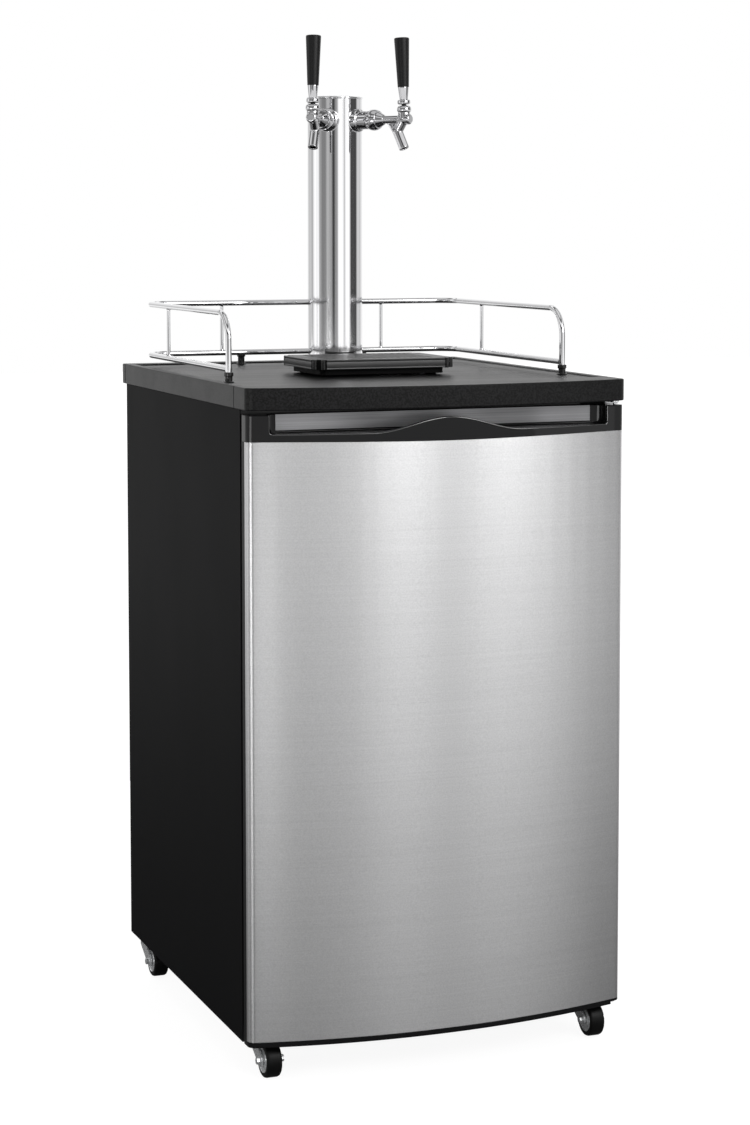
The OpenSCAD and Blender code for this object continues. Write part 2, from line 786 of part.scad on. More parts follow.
// Hinge plates above and below the door, each with a pin and a flange screwed to the cabinet
hinge_pin_r = hinge_pin_d / 2;
hinge_arm_hw = 5;
hinge_slack = 0.5;
hinge_cy = y0 + hinge_y;
notch_h = hinge_plate_t + 2 * hinge_slack;
module hinge_plate(z_plate, z_flange_low, z_flange_high) {
    flange_left = hinge_x + hinge_arm_hw - hinge_flange_w;
    rod_z([hinge_x, hinge_cy, z_plate], hinge_plate_t, hinge_arm_hw);
    block([hinge_x - hinge_arm_hw, hinge_cy, z_plate],
          [hinge_x + hinge_arm_hw, y_front - hinge_flange_t / 2, z_plate + hinge_plate_t]);
    block([flange_left, y_front - hinge_flange_t, z_flange_low],
          [hinge_x + hinge_arm_hw, y_front, z_flange_high]);
}
module hinge_brackets() {
    z_upper = z_top - hinge_slack - hinge_plate_t;
    z_lower = z_base + hinge_slack;
    color("#b4b7ba") {
        hinge_plate(z_upper, z_top - gasket_top + 2, z_upper + hinge_plate_t);
        rod_z([hinge_x, hinge_cy, z_door_top - hinge_pin_l], z_upper - z_door_top + hinge_pin_l + cut, hinge_pin_r);
        hinge_plate(z_lower, z_lower, z_pan - 1);
        rod_z([hinge_x, hinge_cy, z_lower + cut], hinge_plate_t + hinge_pin_l, hinge_pin_r);
    }
}

// The cap's lower edge across the door: a shallow dip in the middle, drawn as an upright band
dip_points = 24;
module dip_band(z_upper) {
    translate([0, y_door_back + cut, 0]) rotate([90, 0, 0])
        linear_extrude(y_door_back - y0 + front_bow + 2 * cut)
            polygon(concat(
                [for (i = [0:dip_points]) let (x = door_hw * (2 * i / dip_points - 1))
                    [x, z_cap - cap_dip * (1 + cos(180 * x / door_hw)) / 2]],
                [[door_hw, z_upper], [-door_hw, z_upper]]));
}

// Stainless sheet bowed over the front and folded round both sides
module door_skin() {
    color("#c4c6c9") difference() {
        translate([0, 0, z_skin]) linear_extrude(z_cap - z_skin) door_outline(0, y_skin_back);
        translate([0, 0, z_skin - cut]) linear_extrude(z_cap - z_skin + 2 * cut)
            door_outline(skin_t, y_skin_back + cut);
        dip_band(z_cap + cut);
    }
}

// The hump's outline across the door, above the pocket floor
hump_points = 24;
module hump_band() {
    translate([0, y_door_back, 0]) rotate([90, 0, 0])
        linear_extrude(y_door_back - y0 + front_bow)
            polygon(concat(
                [for (i = [0:hump_points]) let (x = hump_w * (i / hump_points - 0.5))
                    [x, z_pocket + hump_h * (1 + cos(360 * x / hump_w)) / 2]],
                [[hump_w / 2, z_pocket - cut], [-hump_w / 2, z_pocket - cut]]));
}

// The hollow of the pocket in plan: straight rear wall with rounded corners, open to the front
module pocket_plan() {
    hw = pocket_w / 2;
    r = pocket_corner_r;
    y_wall = y0 + pocket_back;
    y_low = y0 - front_bow - cut;
    translate([-hw, y_low]) square([2 * hw, y_wall - r - y_low]);
    translate([-hw + r, y_low]) square([2 * (hw - r), y_wall - y_low]);
    for (s = [-1, 1]) translate([s * (hw - r), y_wall - r]) circle(r);
}

// The rounded corners between the pocket's floor and its side walls
module pocket_fillets() {
    hw = pocket_w / 2;
    r = pocket_floor_r;
    intersection() {
        translate([0, y0 + pocket_back, z_pocket]) rotate([90, 0, 0])
            linear_extrude(pocket_back + front_bow + cut) for (s = [-1, 1]) difference() {
                translate([s * (hw + cut / 2 - r / 2), r / 2 - cut / 2]) square(r + cut, center = true);
                translate([s * (hw - r), r]) circle(r);
            }
        translate([0, 0, z_pocket - cut]) linear_extrude(pocket_h) door_outline(0, y_door_back);
    }
}

// Plastic cap along the top of the door, with the handle pocket and its wave-shaped lip
module door_top_cap() {
    color("#19191b") difference() {
        union() {
            difference() {
                translate([0, 0, z_cap]) linear_extrude(top_cap_h) door_outline(0, y_door_back);
                translate([0, 0, z_pocket]) linear_extrude(pocket_h + cut) pocket_plan();
            }
            pocket_fillets();
            intersection() {
                hump_band();
                translate([0, 0, z_pocket - cut]) linear_extrude(pocket_h) difference() {
                    door_outline(0, y_door_back);
                    door_outline(hump_t, y_door_back + cut);
                }
            }
            intersection() {
                dip_band(z_cap + cut);
                translate([0, 0, z_cap - cap_dip - cut]) linear_extrude(cap_dip + 2 * cut) difference() {
                    door_outline(0, y_skin_back);
                    door_outline(skin_t, y_skin_back + cut);
                }
            }
        }
        rod_z([hinge_x, hinge_cy, z_door_top - hinge_pin_l - hinge_slack],
              hinge_pin_l + hinge_slack + cut, hinge_pin_r + run_gap);
    }
}

// Plastic trim along the bottom of the door, with a boss round the lower hinge pin
boss_hw = 6.5;
boss_h = hinge_pin_l + hinge_plate_t + 2 * hinge_slack + 3;
module door_bottom_cap() {
    color("#19191b") difference() {
        union() {
            translate([0, 0, z_base]) linear_extrude(bottom_cap_h) door_outline(0, y_door_back);
            rod_z([hinge_x, hinge_cy, z_base], boss_h, boss_hw - fit_gap);
        }
        block([hinge_x - hinge_arm_hw - 1, y0 - front_bow, z_base - cut],
              [door_hw + cut, y_door_back + cut, z_base + notch_h]);
        rod_z([hinge_x, hinge_cy, z_base], notch_h + hinge_pin_l + hinge_slack, hinge_pin_r + run_gap);
    }
}

// Plastic back of the door with its side walls behind the folded skin
door_liner_t = 2;
module door_liner() {
    color("#1b1b1d") difference() {
        block([-door_hw, y_skin_back, z_skin], [door_hw, y_door_back, z_cap]);
        block([-door_hw + door_liner_t, y_skin_back - cut, z_skin - cut],
              [door_hw - door_liner_t, y_door_back - door_liner_t, z_cap + cut]);
        rod_z([hinge_x, hinge_cy, z_base], boss_h + fit_gap, boss_hw);
    }
}

// Foamed core of the door
module door_foam() {
    core_hw = door_hw - door_liner_t - fit_gap;
    color("#e8dfb8") difference() {
        intersection() {
            translate([0, 0, z_skin]) linear_extrude(z_cap - cap_dip - 2 * cut - z_skin)
                door_outline(skin_t + fit_gap, y_door_back - door_liner_t - seat_gap);
            block([-core_hw, y0 - front_bow, z_skin], [core_hw, y_door_back, z_cap]);
        }
        rod_z([hinge_x, hinge_cy, z_base], boss_h + fit_gap, boss_hw);
    }
}

// Magnetic gasket between the door and the cabinet
module door_gasket() {
    hw = door_hw - gasket_inset;
    z_low = z_base + gasket_bottom;
    z_high = z_top - gasket_top;
    color("#2b2b2d") difference() {
        block([-hw, y_door_back, z_low], [hw, y_front, z_high]);
        block([-hw + gasket_w, y_door_back - cut, z_low + gasket_w],
              [hw - gasket_w, y_front + cut, z_high - gasket_w]);
    }
}

// Bright strip along the rear wall of the handle pocket
module handle_insert() {
    hw = pocket_w / 2 - insert_end;
    y_wall = y0 + pocket_back;
    color("#b9bbbe") block([-hw, y_wall - insert_t, z_pocket], [hw, y_wall, z_door_top]);
}

// A faucet's own frame: +X leaves the tower, and the origin is on the tower's axis
module at_faucet(side) {
    translate([0, tower_cy, z_faucet]) rotate([0, 0, -90 + side * faucet_angle]) children();
}

// Polished column welded to its base flange
module tower_column() {
    color("#d2d4d7") difference() {
        union() {
            rod_z([0, tower_cy, z_column], z_column_top - z_column, tower_r);
            rod_z([0, tower_cy, z_column], flange_t, flange_r);
        }
        rod_z([0, tower_cy, z_column - cut], z_column_top - z_column + 2 * cut, tower_r - tower_wall);
        for (side = [-1, 1]) at_faucet(side) rod_x([0, 0, 0], tower_d, shank_r + fit_gap);
        for (p = tower_screw_spots)
            rod_z([p[0], p[1], z_column - cut], flange_t + 2 * cut, flange_screw_d / 2 + seat_gap);
    }
}

// Domed cap plugged into the top of the column
module tower_cap() {
    r = tower_r + cap_lip;
    dome_r = (r * r + cap_dome_h * cap_dome_h) / (2 * cap_dome_h);
    z_rim = z_column_top + cap_rim_h;
    color("#d2d4d7") {
        rod_z([0, tower_cy, z_column_top], cap_rim_h, r);
        rod_z([0, tower_cy, z_column_top - cap_plug_h], cap_plug_h, tower_r - tower_wall - seat_gap);
        intersection() {
            translate([0, tower_cy, z_rim + cap_dome_h - dome_r]) sphere(dome_r, $fn = 200);
            rod_z([0, tower_cy, z_rim], cap_dome_h + cut, r);
        }
    }
}

// Rubber gasket between the tower's flange and the deck
module tower_gasket() {
    color("#141414") difference() {
        rod_z([0, tower_cy, z_deck], tower_gasket_t, flange_r);
        rod_z([0, tower_cy, z_deck - cut], tower_gasket_t + 2 * cut, sleeve_r + fit_gap);
        for (p = tower_screw_spots)
            rod_z([p[0], p[1], z_deck - cut], tower_gasket_t + 2 * cut, flange_screw_d / 2 + seat_gap);
    }
}

// Four pan-head screws through the flange, the gasket and the deck
module tower_screws() {
    head_r = flange_screw_d * 0.95;
    head_h = 2.6;
    z_seat = z_column + flange_t;
    color("#c8cacd") for (p = tower_screw_spots) {
        rod_z([p[0], p[1], z_seat], head_h, head_r);
        rod_z([p[0], p[1], z_seat - flange_t - flange_screw_l], flange_t + flange_screw_l + cut / 2,
              flange_screw_d / 2);
    }
}

// Threaded shank through the column's wall, with a bezel seated on the column and a barrel outside
module shank(side) {
    color("#cfd1d4") at_faucet(side) difference() {
        union() {
            rod_x([shank_start, 0, 0], shank_end - shank_start, shank_r);
            difference() {
                union() {
                    translate([tower_r - 6, 0, 0]) rotate([0, 90, 0]) cylinder(h = 10, r = bezel_r);
                    translate([tower_r + 4, 0, 0]) rotate([0, 90, 0])
                        cylinder(h = bezel_end - tower_r - 4, r1 = bezel_r, r2 = barrel_r);
                    rod_x([tower_r - 6, 0, 0], coupling_start - seat_gap - tower_r + 6, barrel_r);
                }
                rod_z([0, 0, -tower_d], 2 * tower_d, tower_r + seat_gap);
            }
        }
        rod_x([shank_start - cut, 0, 0], shank_end - shank_start + 2 * cut, shank_bore_r);
    }
}
module shank_left() { shank(-1); }
module shank_right() { shank(1); }

// Hexagon nuts that clamp the shanks from inside the column
module shank_nuts() {
    nut_l = 7;
    color("#bfa45a") for (side = [-1, 1]) at_faucet(side) difference() {
        translate([shank_start + 2, 0, 0]) rotate([0, 90, 0]) cylinder(h = nut_l, r = shank_r * 1.36, $fn = 6);
        rod_x([shank_start, 0, 0], nut_l + 4, shank_r + seat_gap);
    }
}

// Notched coupling nuts that hold the faucets to the shanks
module coupling_nuts() {
    crown_r = coupling_l * 0.9;
    color("#cfd1d4") for (side = [-1, 1]) at_faucet(side) difference() {
        rotate([0, 90, 0]) rotate_extrude() intersection() {
            translate([coupling_r - crown_r, coupling_start + coupling_l / 2]) circle(crown_r);
            translate([0, coupling_start]) square([coupling_r, coupling_l]);
        }
        rod_x([coupling_start - cut, 0, 0], coupling_l + 2 * cut, shank_r + seat_gap);
        for (i = [0:coupling_notches - 1]) rotate([i * 360 / coupling_notches, 0, 0])
            rod_x([coupling_start - cut, 0, coupling_r], coupling_l * 0.5, 2);
    }
}

// Where the faucet's parts lie along its own frame
u_seat = coupling_start + coupling_l;
u_tail = lever_u + pivot_h * sin(lever_lean);
chamber_r = 7.2;
u_chamber = u_seat + 4;
spout_tip = [lever_u + 0.5, -spout_drop];
spout_l = 26;
spout_dir = [cos(spout_angle), -sin(spout_angle)];
spout_top = spout_tip - spout_l * spout_dir;
pin_hl = bonnet_r - 1.6;

// A rod in the faucet's middle plane from one point to another
module plane_rod(a, b, r) {
    d = b - a;
    translate([a[0], 0, a[1]]) rotate([0, atan2(d[0], d[1]), 0]) cylinder(h = norm(d), r = r);
}

// Cast body: clamped seat, bar, neck for the lever, round nose, and a spout that hangs from the nose
// on a bent pipe and from the bar on a slim rib, with a web between them
module faucet_body(side) {
    cone_l = 9;
    knee_bead = 0.25;
    rib_r = 3;
    rib_top = [spout_top[0] - 17.5, 0];
    rib_low = spout_top - [4, 1];
    color("#cfd1d4") at_faucet(side) difference() {
        union() {
            rod_x([shank_end + seat_gap, 0, 0], u_seat - shank_end, shank_r);
            translate([u_seat + seat_gap, 0, 0]) rotate([0, 90, 0])
                cylinder(h = cone_l, r1 = shank_r + 1.2, r2 = bar_r + 1);
            rod_x([u_seat, 0, 0], lever_u - u_seat, bar_r);
            rod_x([lever_u - nose_r, 0, 0], nose_r + nose_l - 2, nose_r);
            translate([lever_u + nose_l - 2, 0, 0]) rotate([0, 90, 0])
                cylinder(h = 2, r1 = nose_r, r2 = nose_r - 2);
            rod_z([lever_u, 0, 0], bonnet_z, neck_r);
            plane_rod(spout_top, spout_tip, spout_r);
            plane_rod([lever_u, 0], spout_top, nose_r - 0.6);
            translate([spout_top[0], 0, spout_top[1]]) sphere(spout_r + knee_bead);
            plane_rod(rib_top, rib_low, rib_r);
            rotate([90, 0, 0]) translate([0, 0, -web_t / 2]) linear_extrude(web_t)
                polygon([rib_top, [lever_u, 0], spout_top, rib_low]);
        }
        rod_x([shank_end, 0, 0], u_chamber - shank_end, chamber_r);
        rod_x([u_chamber - cut, 0, 0], lever_u + nose_l - 2 - u_chamber + cut, plunger_r + run_gap);
        rod_z([lever_u, 0, bonnet_z - 3], 2 * bonnet_z, ball_r + fit_gap);
        block([lever_u - neck_r + 0.9, -tail_r - fit_gap, 0], [lever_u + 4, tail_r + fit_gap, bonnet_z]);
        plane_rod(spout_top + 0.1 * spout_l * spout_dir, spout_tip + 2 * spout_dir, spout_bore_r);
    }
}
module faucet_body_left() { faucet_body(-1); }
module faucet_body_right() { faucet_body(1); }

// Domed bonnet that keeps the lever's ball in the neck
module faucet_bonnet(side) {
    chamfer = 1.75;
    color("#cfd1d4") at_faucet(side) difference() {
        union() {
            rod_z([lever_u, 0, bonnet_z], bonnet_h - chamfer, bonnet_r);
            translate([lever_u, 0, bonnet_z + bonnet_h - chamfer])
                cylinder(h = chamfer, r1 = bonnet_r, r2 = bonnet_r - chamfer);
        }
        rod_z([lever_u, 0, bonnet_z - cut], bonnet_h + 2 * cut, ball_r + fit_gap);
        rod_y([lever_u, -pin_hl - fit_gap, pivot_h], 2 * pin_hl + 2 * fit_gap, pivot_pin_r + run_gap);
    }
}
module faucet_bonnet_left() { faucet_bonnet(-1); }
module faucet_bonnet_right() { faucet_bonnet(1); }

// Plunger in the bar: a seal at the rear, a slot for the lever's tail and a guide in the nose
module faucet_plunger(side) {
    seal_r = chamber_r - 0.8;
    seal_l = 3;
    slot_floor = tail_r + fit_gap;
    guide_end = lever_u + nose_l - 4;
    color("#8d8f92") at_faucet(side) difference() {
        union() {
            rod_x([u_chamber - fit_gap - seal_l, 0, 0], seal_l, seal_r);
            rod_x([u_chamber - fit_gap - cut, 0, 0], guide_end - u_chamber, plunger_r);
        }
        block([u_tail - plunger_slot / 2, -plunger_r - cut, -slot_floor],
              [u_tail + plunger_slot / 2, plunger_r + cut, plunger_r + cut]);
    }
}
module faucet_plunger_left() { faucet_plunger(-1); }
module faucet_plunger_right() { faucet_plunger(1); }

// The lever's own frame: the origin is on its pivot, and it leans back with the closed tap
module at_lever(side) {
    at_faucet(side) translate([lever_u, 0, pivot_h]) rotate([0, -lever_lean, 0]) children();
}
ferrule_z = collar_z + collar_h;
handle_z = ferrule_z + ferrule_h;
stud_r = 3.5;

// Lever: tail ball in the plunger, pivot ball and cross pin in the bonnet, collar and threaded stud
module faucet_lever(side) {
    tail_stem_r = 1.5;
    color("#cfd1d4") at_lever(side) {
        translate([0, 0, -pivot_h]) sphere(tail_r);
        rod_z([0, 0, -pivot_h], pivot_h, tail_stem_r);
        sphere(ball_r);
        rod_y([0, -pin_hl, 0], 2 * pin_hl, pivot_pin_r);
        rod_z([0, 0, 0], collar_z + cut, stem_r);
        rod_z([0, 0, collar_z], collar_h, collar_r);
        rod_z([0, 0, ferrule_z - cut], ferrule_h + 10 + cut, stud_r);
    }
}
module faucet_lever_left() { faucet_lever(-1); }
module faucet_lever_right() { faucet_lever(1); }

// Tapered ferrule screwed down on the lever's stud
module handle_ferrule(side) {
    color("#cfd1d4") at_lever(side) difference() {
        translate([0, 0, ferrule_z]) cylinder(h = ferrule_h, r1 = ferrule_r, r2 = handle_r1 - 0.4);
        rod_z([0, 0, ferrule_z - cut], ferrule_h + 2 * cut, stud_r + seat_gap);
    }
}
module handle_ferrule_left() { handle_ferrule(-1); }
module handle_ferrule_right() { handle_ferrule(1); }

// Tapered black handle with an eased top
module tap_handle(side) {
    ease = 1.5;
    color("#141414") at_lever(side) difference() {
        union() {
            translate([0, 0, handle_z]) cylinder(h = handle_h - ease, r1 = handle_r1, r2 = handle_r2);
            translate([0, 0, handle_z + handle_h - ease])
                cylinder(h = ease, r1 = handle_r2, r2 = handle_r2 - ease);
        }
        rod_z([0, 0, handle_z - cut], 10 + 2 * cut, stud_r + seat_gap);
    }
}
module tap_handle_left() { tap_handle(-1); }
module tap_handle_right() { tap_handle(1); }

// Levels and lines of the guard rail
rod_r = rod_d / 2;
z_rail_low = z_work + rail_low;
z_rail_high = z_work + rail_high;
y_post = y0 + rail_front;
y_rail_back = y0 + worktop_d - rail_rear;
rail_hw = half_w - rail_side;
strut_x = rail_hw - strut_side;
foot_x = rail_hw - foot_side;
y_strut = y_rail_back - strut_rear;
foot_top = rail_low - rod_r + deck_recess;
post_sink = 6;

// A quarter bend of rail in the XY plane, from +X round to +Y
module quarter_bend(r) {
    rotate_extrude(angle = 90) translate([r, 0]) circle(rod_r);
}

// The U of a rail behind its front ends, at one level
module rail_run(z, y_start) {
    side_l = y_rail_back - rail_corner_r - y_start;
    back_hw = rail_hw - rail_corner_r;
    for (s = [-1, 1]) rod_y([s * rail_hw, y_start, z], side_l, rod_r);
    rod_x([-back_hw, y_rail_back, z], 2 * back_hw, rod_r);
    for (m = [0, 1]) mirror([m, 0, 0])
        translate([back_hw, y_rail_back - rail_corner_r, z]) quarter_bend(rail_corner_r);
}

// Upper rail with its two front posts bent down in one piece
module rail_upper() {
    z_post = z_deck + foot_top - post_sink;
    color("#d9dbde") {
        rail_run(z_rail_high, y_post + rail_bend_r);
        for (s = [-1, 1]) {
            rod_z([s * rail_hw, y_post, z_post], z_rail_high - rail_bend_r - z_post, rod_r);
            translate([s * rail_hw, y_post + rail_bend_r, z_rail_high - rail_bend_r])
                rotate([90, 0, -90]) quarter_bend(rail_bend_r);
        }
    }
}

// Lower rail welded to the posts
module rail_lower() {
    color("#d9dbde") rail_run(z_rail_low, y_post + rod_r + seat_gap);
}

// Upright struts between the rails, saddled to both
module rail_struts() {
    weld_r = rod_r + seat_gap;
    l = z_rail_high - z_rail_low;
    color("#d9dbde") {
        for (s = [-1, 1]) difference() {
            rod_z([s * rail_hw, y_strut, z_rail_low], l, strut_d / 2);
            for (z = [z_rail_low, z_rail_high])
                rod_y([s * rail_hw, y_strut - strut_d, z], 2 * strut_d, weld_r);
        }
        for (s = [-1, 1]) difference() {
            rod_z([s * strut_x, y_rail_back, z_rail_low], l, strut_d / 2);
            for (z = [z_rail_low, z_rail_high])
                rod_x([s * strut_x - strut_d, y_rail_back, z], 2 * strut_d, weld_r);
        }
    }
}

// Black feet: two under the posts and two that cradle the rear lower rail
module rail_foot(h) {
    collar_l = 5;
    pad_t = 1.5;
    rod_z([0, 0, 0], pad_t, foot_r + 1.2);
    rod_z([0, 0, 0], h - collar_l + cut, foot_r - 1.2);
    rod_z([0, 0, h - collar_l], collar_l, foot_r);
}
module rail_feet() {
    cradle = 3;
    color("#101010") {
        for (s = [-1, 1]) translate([s * rail_hw, y_post, z_deck]) difference() {
            rail_foot(foot_top);
            rod_z([0, 0, foot_top - post_sink - seat_gap], post_sink + cut, rod_r + seat_gap);
        }
        for (s = [-1, 1]) translate([s * foot_x, y_rail_back, z_deck]) difference() {
            rail_foot(foot_top + cradle);
            rod_x([-2 * foot_r, 0, rail_low + deck_recess], 4 * foot_r, rod_r + seat_gap);
        }
    }
}

// The drip tray's outline: a rectangle with a notched corner and a rounded post in each notch
tray_cy = tower_cy - flange_r - tray_gap - tray_d / 2;
module tray_outline(inset) {
    w = tray_w - 2 * inset;
    d = tray_d - 2 * inset;
    n = tray_notch;
    translate([-w / 2 + n, -d / 2]) square([w - 2 * n, d]);
    translate([-w / 2, -d / 2 + n]) square([w, d - 2 * n]);
    for (sx = [-1, 1], sy = [-1, 1])
        translate([sx * (w / 2 - n), sy * (d / 2 - n)]) circle(n - 1.5);
}

// Tray with an outer band, a basin set in under it and four feet
z_tray_top = z_work + tray_top;
z_band = z_tray_top - tray_band_h;
z_basin = z_deck + tray_foot_h;
grille_seat = tray_wall + 2;
module drip_tray() {
    basin = [tray_w - 2 * basin_inset, tray_d - 2 * basin_inset];
    basin_r = 8;
    ledge = 3.5;
    pad_r = 7;
    color("#1a1a1c") translate([0, tray_cy, 0]) {
        difference() {
            union() {
                translate([0, 0, z_band]) linear_extrude(tray_band_h) tray_outline(0);
                translate([0, 0, z_basin]) round_plate(basin, basin_r, z_band - z_basin + cut);
            }
            translate([0, 0, z_tray_top - grille_t]) linear_extrude(grille_t + cut) tray_outline(tray_wall);
            translate([0, 0, z_basin + tray_wall])
                round_plate(basin - 2 * [ledge, ledge], basin_r - ledge, z_tray_top - z_basin);
        }
        for (sx = [-1, 1], sy = [-1, 1])
            rod_z([sx * (basin[0] / 2 - 2 * pad_r), sy * (basin[1] / 2 - 2 * pad_r), z_deck],
                  tray_foot_h + tray_wall / 2, pad_r);
    }
}

// Slotted grille that drops into the tray
module drip_grille() {
    slots = floor((tray_w - 2 * basin_inset - 2 * grille_pitch) / grille_pitch);
    slot_l = tray_d - 2 * basin_inset - 2 * grille_seat;
    color("#242426") translate([0, tray_cy, z_tray_top - grille_t]) difference() {
        linear_extrude(grille_t) tray_outline(tray_wall + fit_gap);
        for (i = [0:slots - 1]) translate([(i - (slots - 1) / 2) * grille_pitch, 0, -cut])
            linear_extrude(grille_t + 2 * cut) {
                square([grille_slot, slot_l - grille_slot], center = true);
                for (s = [-1, 1]) translate([0, s * (slot_l - grille_slot) / 2]) circle(grille_slot / 2);
            }
    }
}

// Bushed sockets under the base pan for the casters' stems
module caster_sockets() {
    color("#9a9da0") for (p = caster_spots) difference() {
        union() {
            rod_z([p[0], p[1], z_pan - socket_h], socket_h, swivel_r + 1);
            rod_z([p[0], p[1], z_pan - cut], bush_top - z_pan + cut, bush_r);
        }
        rod_z([p[0], p[1], z_pan - socket_h - cut], socket_h + stem_pin_l + 2 * cut, stem_pin_r + run_gap);
    }
}

// A caster's own frame: on the floor under its swivel, with +X along the axle
wheel_r = wheel_d / 2;
leg_x = wheel_w / 2 + side_gap;
module at_caster(i) {
    translate([caster_spots[i][0], caster_spots[i][1], 0]) children();
}

// Pressed fork with a swivel head and stem, and the axle bolt through its legs
module caster_fork(i) {
    crown_hw = 12;
    eye_r = 7.5;
    z_crown = wheel_d - 0.5;
    z_head = z_pan - socket_h - fit_gap;
    head_r = 4.6;
    color("#b9bcc0") at_caster(i) {
        difference() {
            union() {
                for (s = [-1, 1]) translate([s * (leg_x + fork_t / 2) - fork_t / 2, 0, 0])
                    rotate([90, 0, 90]) linear_extrude(fork_t) {
                        polygon([[-crown_hw, z_crown], [crown_hw, z_crown], [crown_hw, z_crown - 8],
                                 [-caster_trail, wheel_r - eye_r], [-caster_trail - eye_r * 0.6, wheel_r + eye_r * 0.8]]);
                        translate([-caster_trail, wheel_r]) circle(eye_r);
                    }
                block([-leg_x - fork_t, -crown_hw, z_crown - fork_t], [leg_x + fork_t, crown_hw, z_crown]);
                rod_z([0, 0, z_crown - fork_t / 2], z_head - z_crown + fork_t / 2, swivel_r);
                rod_z([0, 0, z_head - cut], z_pan - z_head + stem_pin_l + cut - fit_gap, stem_pin_r);
            }
            rod_x([-2 * leg_x, -caster_trail, wheel_r], 4 * leg_x, axle_r + seat_gap);
        }
        rod_x([-leg_x - fork_t - 3, -caster_trail, wheel_r], 2 * (leg_x + fork_t) + 6, axle_r);
        rod_x([-leg_x - fork_t - 4.5, -caster_trail, wheel_r], 4.4, head_r);
        rod_x([leg_x + fork_t + 0.1, -caster_trail, wheel_r], 4.4, head_r);
    }
}
module caster_fork_front_left() { caster_fork(0); }
module caster_fork_front_right() { caster_fork(1); }
module caster_fork_rear_left() { caster_fork(2); }
module caster_fork_rear_right() { caster_fork(3); }

// Moulded wheel with a crowned tread and a raised hub
module caster_wheel(i) {
    shoulder = 3;
    dish = 2;
    hub_r = axle_r + 4;
    color("#161616") at_caster(i) translate([0, -caster_trail, wheel_r]) rotate([0, 90, 0]) rotate_extrude()
        polygon([
            [axle_r + run_gap, -wheel_w / 2], [hub_r, -wheel_w / 2], [hub_r, -wheel_w / 2 + dish],
            [wheel_r - 2 * shoulder, -wheel_w / 2 + dish], [wheel_r - 2 * shoulder, -wheel_w / 2],
            [wheel_r - shoulder / 2, -wheel_w / 2], [wheel_r, -wheel_w / 2 + shoulder],
            [wheel_r, wheel_w / 2 - shoulder], [wheel_r - shoulder / 2, wheel_w / 2],
            [wheel_r - 2 * shoulder, wheel_w / 2], [wheel_r - 2 * shoulder, wheel_w / 2 - dish],
            [hub_r, wheel_w / 2 - dish], [hub_r, wheel_w / 2], [axle_r + run_gap, wheel_w / 2]
        ]);
}
module caster_wheel_front_left() { caster_wheel(0); }
module caster_wheel_front_right() { caster_wheel(1); }
module caster_wheel_rear_left() { caster_wheel(2); }
module caster_wheel_rear_right() { caster_wheel(3); }

cabinet_wrap();
back_panel();
base_pan();
cabinet_foam();
inner_liner();
keg_floor_plate();
evaporator_plate();
thermostat_housing();
thermostat_knob();
compressor();
condenser();
worktop();
worktop_front_trim();
worktop_rear_trim();
line_grommet();
gas_inlet_grommet();
power_inlet();
hinge_brackets();
door_skin();
door_top_cap();
door_bottom_cap();
door_liner();
door_foam();
door_gasket();
handle_insert();
tower_column();
tower_cap();
tower_gasket();
tower_screws();
shank_left();
shank_right();
shank_nuts();
coupling_nuts();
faucet_body_left();
faucet_body_right();
faucet_bonnet_left();
faucet_bonnet_right();
faucet_plunger_left();
faucet_plunger_right();
faucet_lever_left();
faucet_lever_right();
handle_ferrule_left();
handle_ferrule_right();
tap_handle_left();
tap_handle_right();
rail_upper();
rail_lower();
rail_struts();
rail_feet();
drip_tray();
drip_grille();
caster_sockets();
caster_fork_front_left();
caster_fork_front_right();
caster_fork_rear_left();
caster_fork_rear_right();
caster_wheel_front_left();
caster_wheel_front_right();
caster_wheel_rear_left();
caster_wheel_rear_right();
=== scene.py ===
import math

import bmesh
import bpy
from mathutils import Matrix, Vector


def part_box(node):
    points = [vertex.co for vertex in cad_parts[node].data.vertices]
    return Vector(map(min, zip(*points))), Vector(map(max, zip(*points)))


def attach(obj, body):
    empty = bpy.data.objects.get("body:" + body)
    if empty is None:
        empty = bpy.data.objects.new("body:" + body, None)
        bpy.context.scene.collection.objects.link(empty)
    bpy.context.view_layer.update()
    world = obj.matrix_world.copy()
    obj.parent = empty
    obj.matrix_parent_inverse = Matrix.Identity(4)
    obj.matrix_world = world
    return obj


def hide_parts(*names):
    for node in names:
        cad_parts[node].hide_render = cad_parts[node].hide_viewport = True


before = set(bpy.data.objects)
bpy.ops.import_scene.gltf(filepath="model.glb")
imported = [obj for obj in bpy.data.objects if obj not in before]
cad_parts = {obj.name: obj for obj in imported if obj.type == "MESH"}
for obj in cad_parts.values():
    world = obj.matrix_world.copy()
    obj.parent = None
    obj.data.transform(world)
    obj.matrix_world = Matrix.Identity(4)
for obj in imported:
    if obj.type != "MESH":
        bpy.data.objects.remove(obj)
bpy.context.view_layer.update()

# Studio: the camera stands left of the middle, a little above the worktop, over a plain pale floor.
# The surround is soft: a bright window right of the camera, a dim room behind it, a dark flag further
# right and a banded ceiling, which between them give the polished metal its stripes.
MM = 0.001
scene = bpy.context.scene
scene.view_settings.view_transform = "Standard"
lens = bpy.data.cameras.new("camera")
lens.lens = 79.071
lens.sensor_width = 36.0
lens.shift_y = -0.12667
lens.clip_end = 100.0
camera = bpy.data.objects.new("camera", lens)
camera.location = (-1.188799, -3.119105, 1.069719)
camera.rotation_euler = (math.radians(90.0 - 4.585), 0.0, math.radians(-21.075))
scene.collection.objects.link(camera)
scene.camera = camera


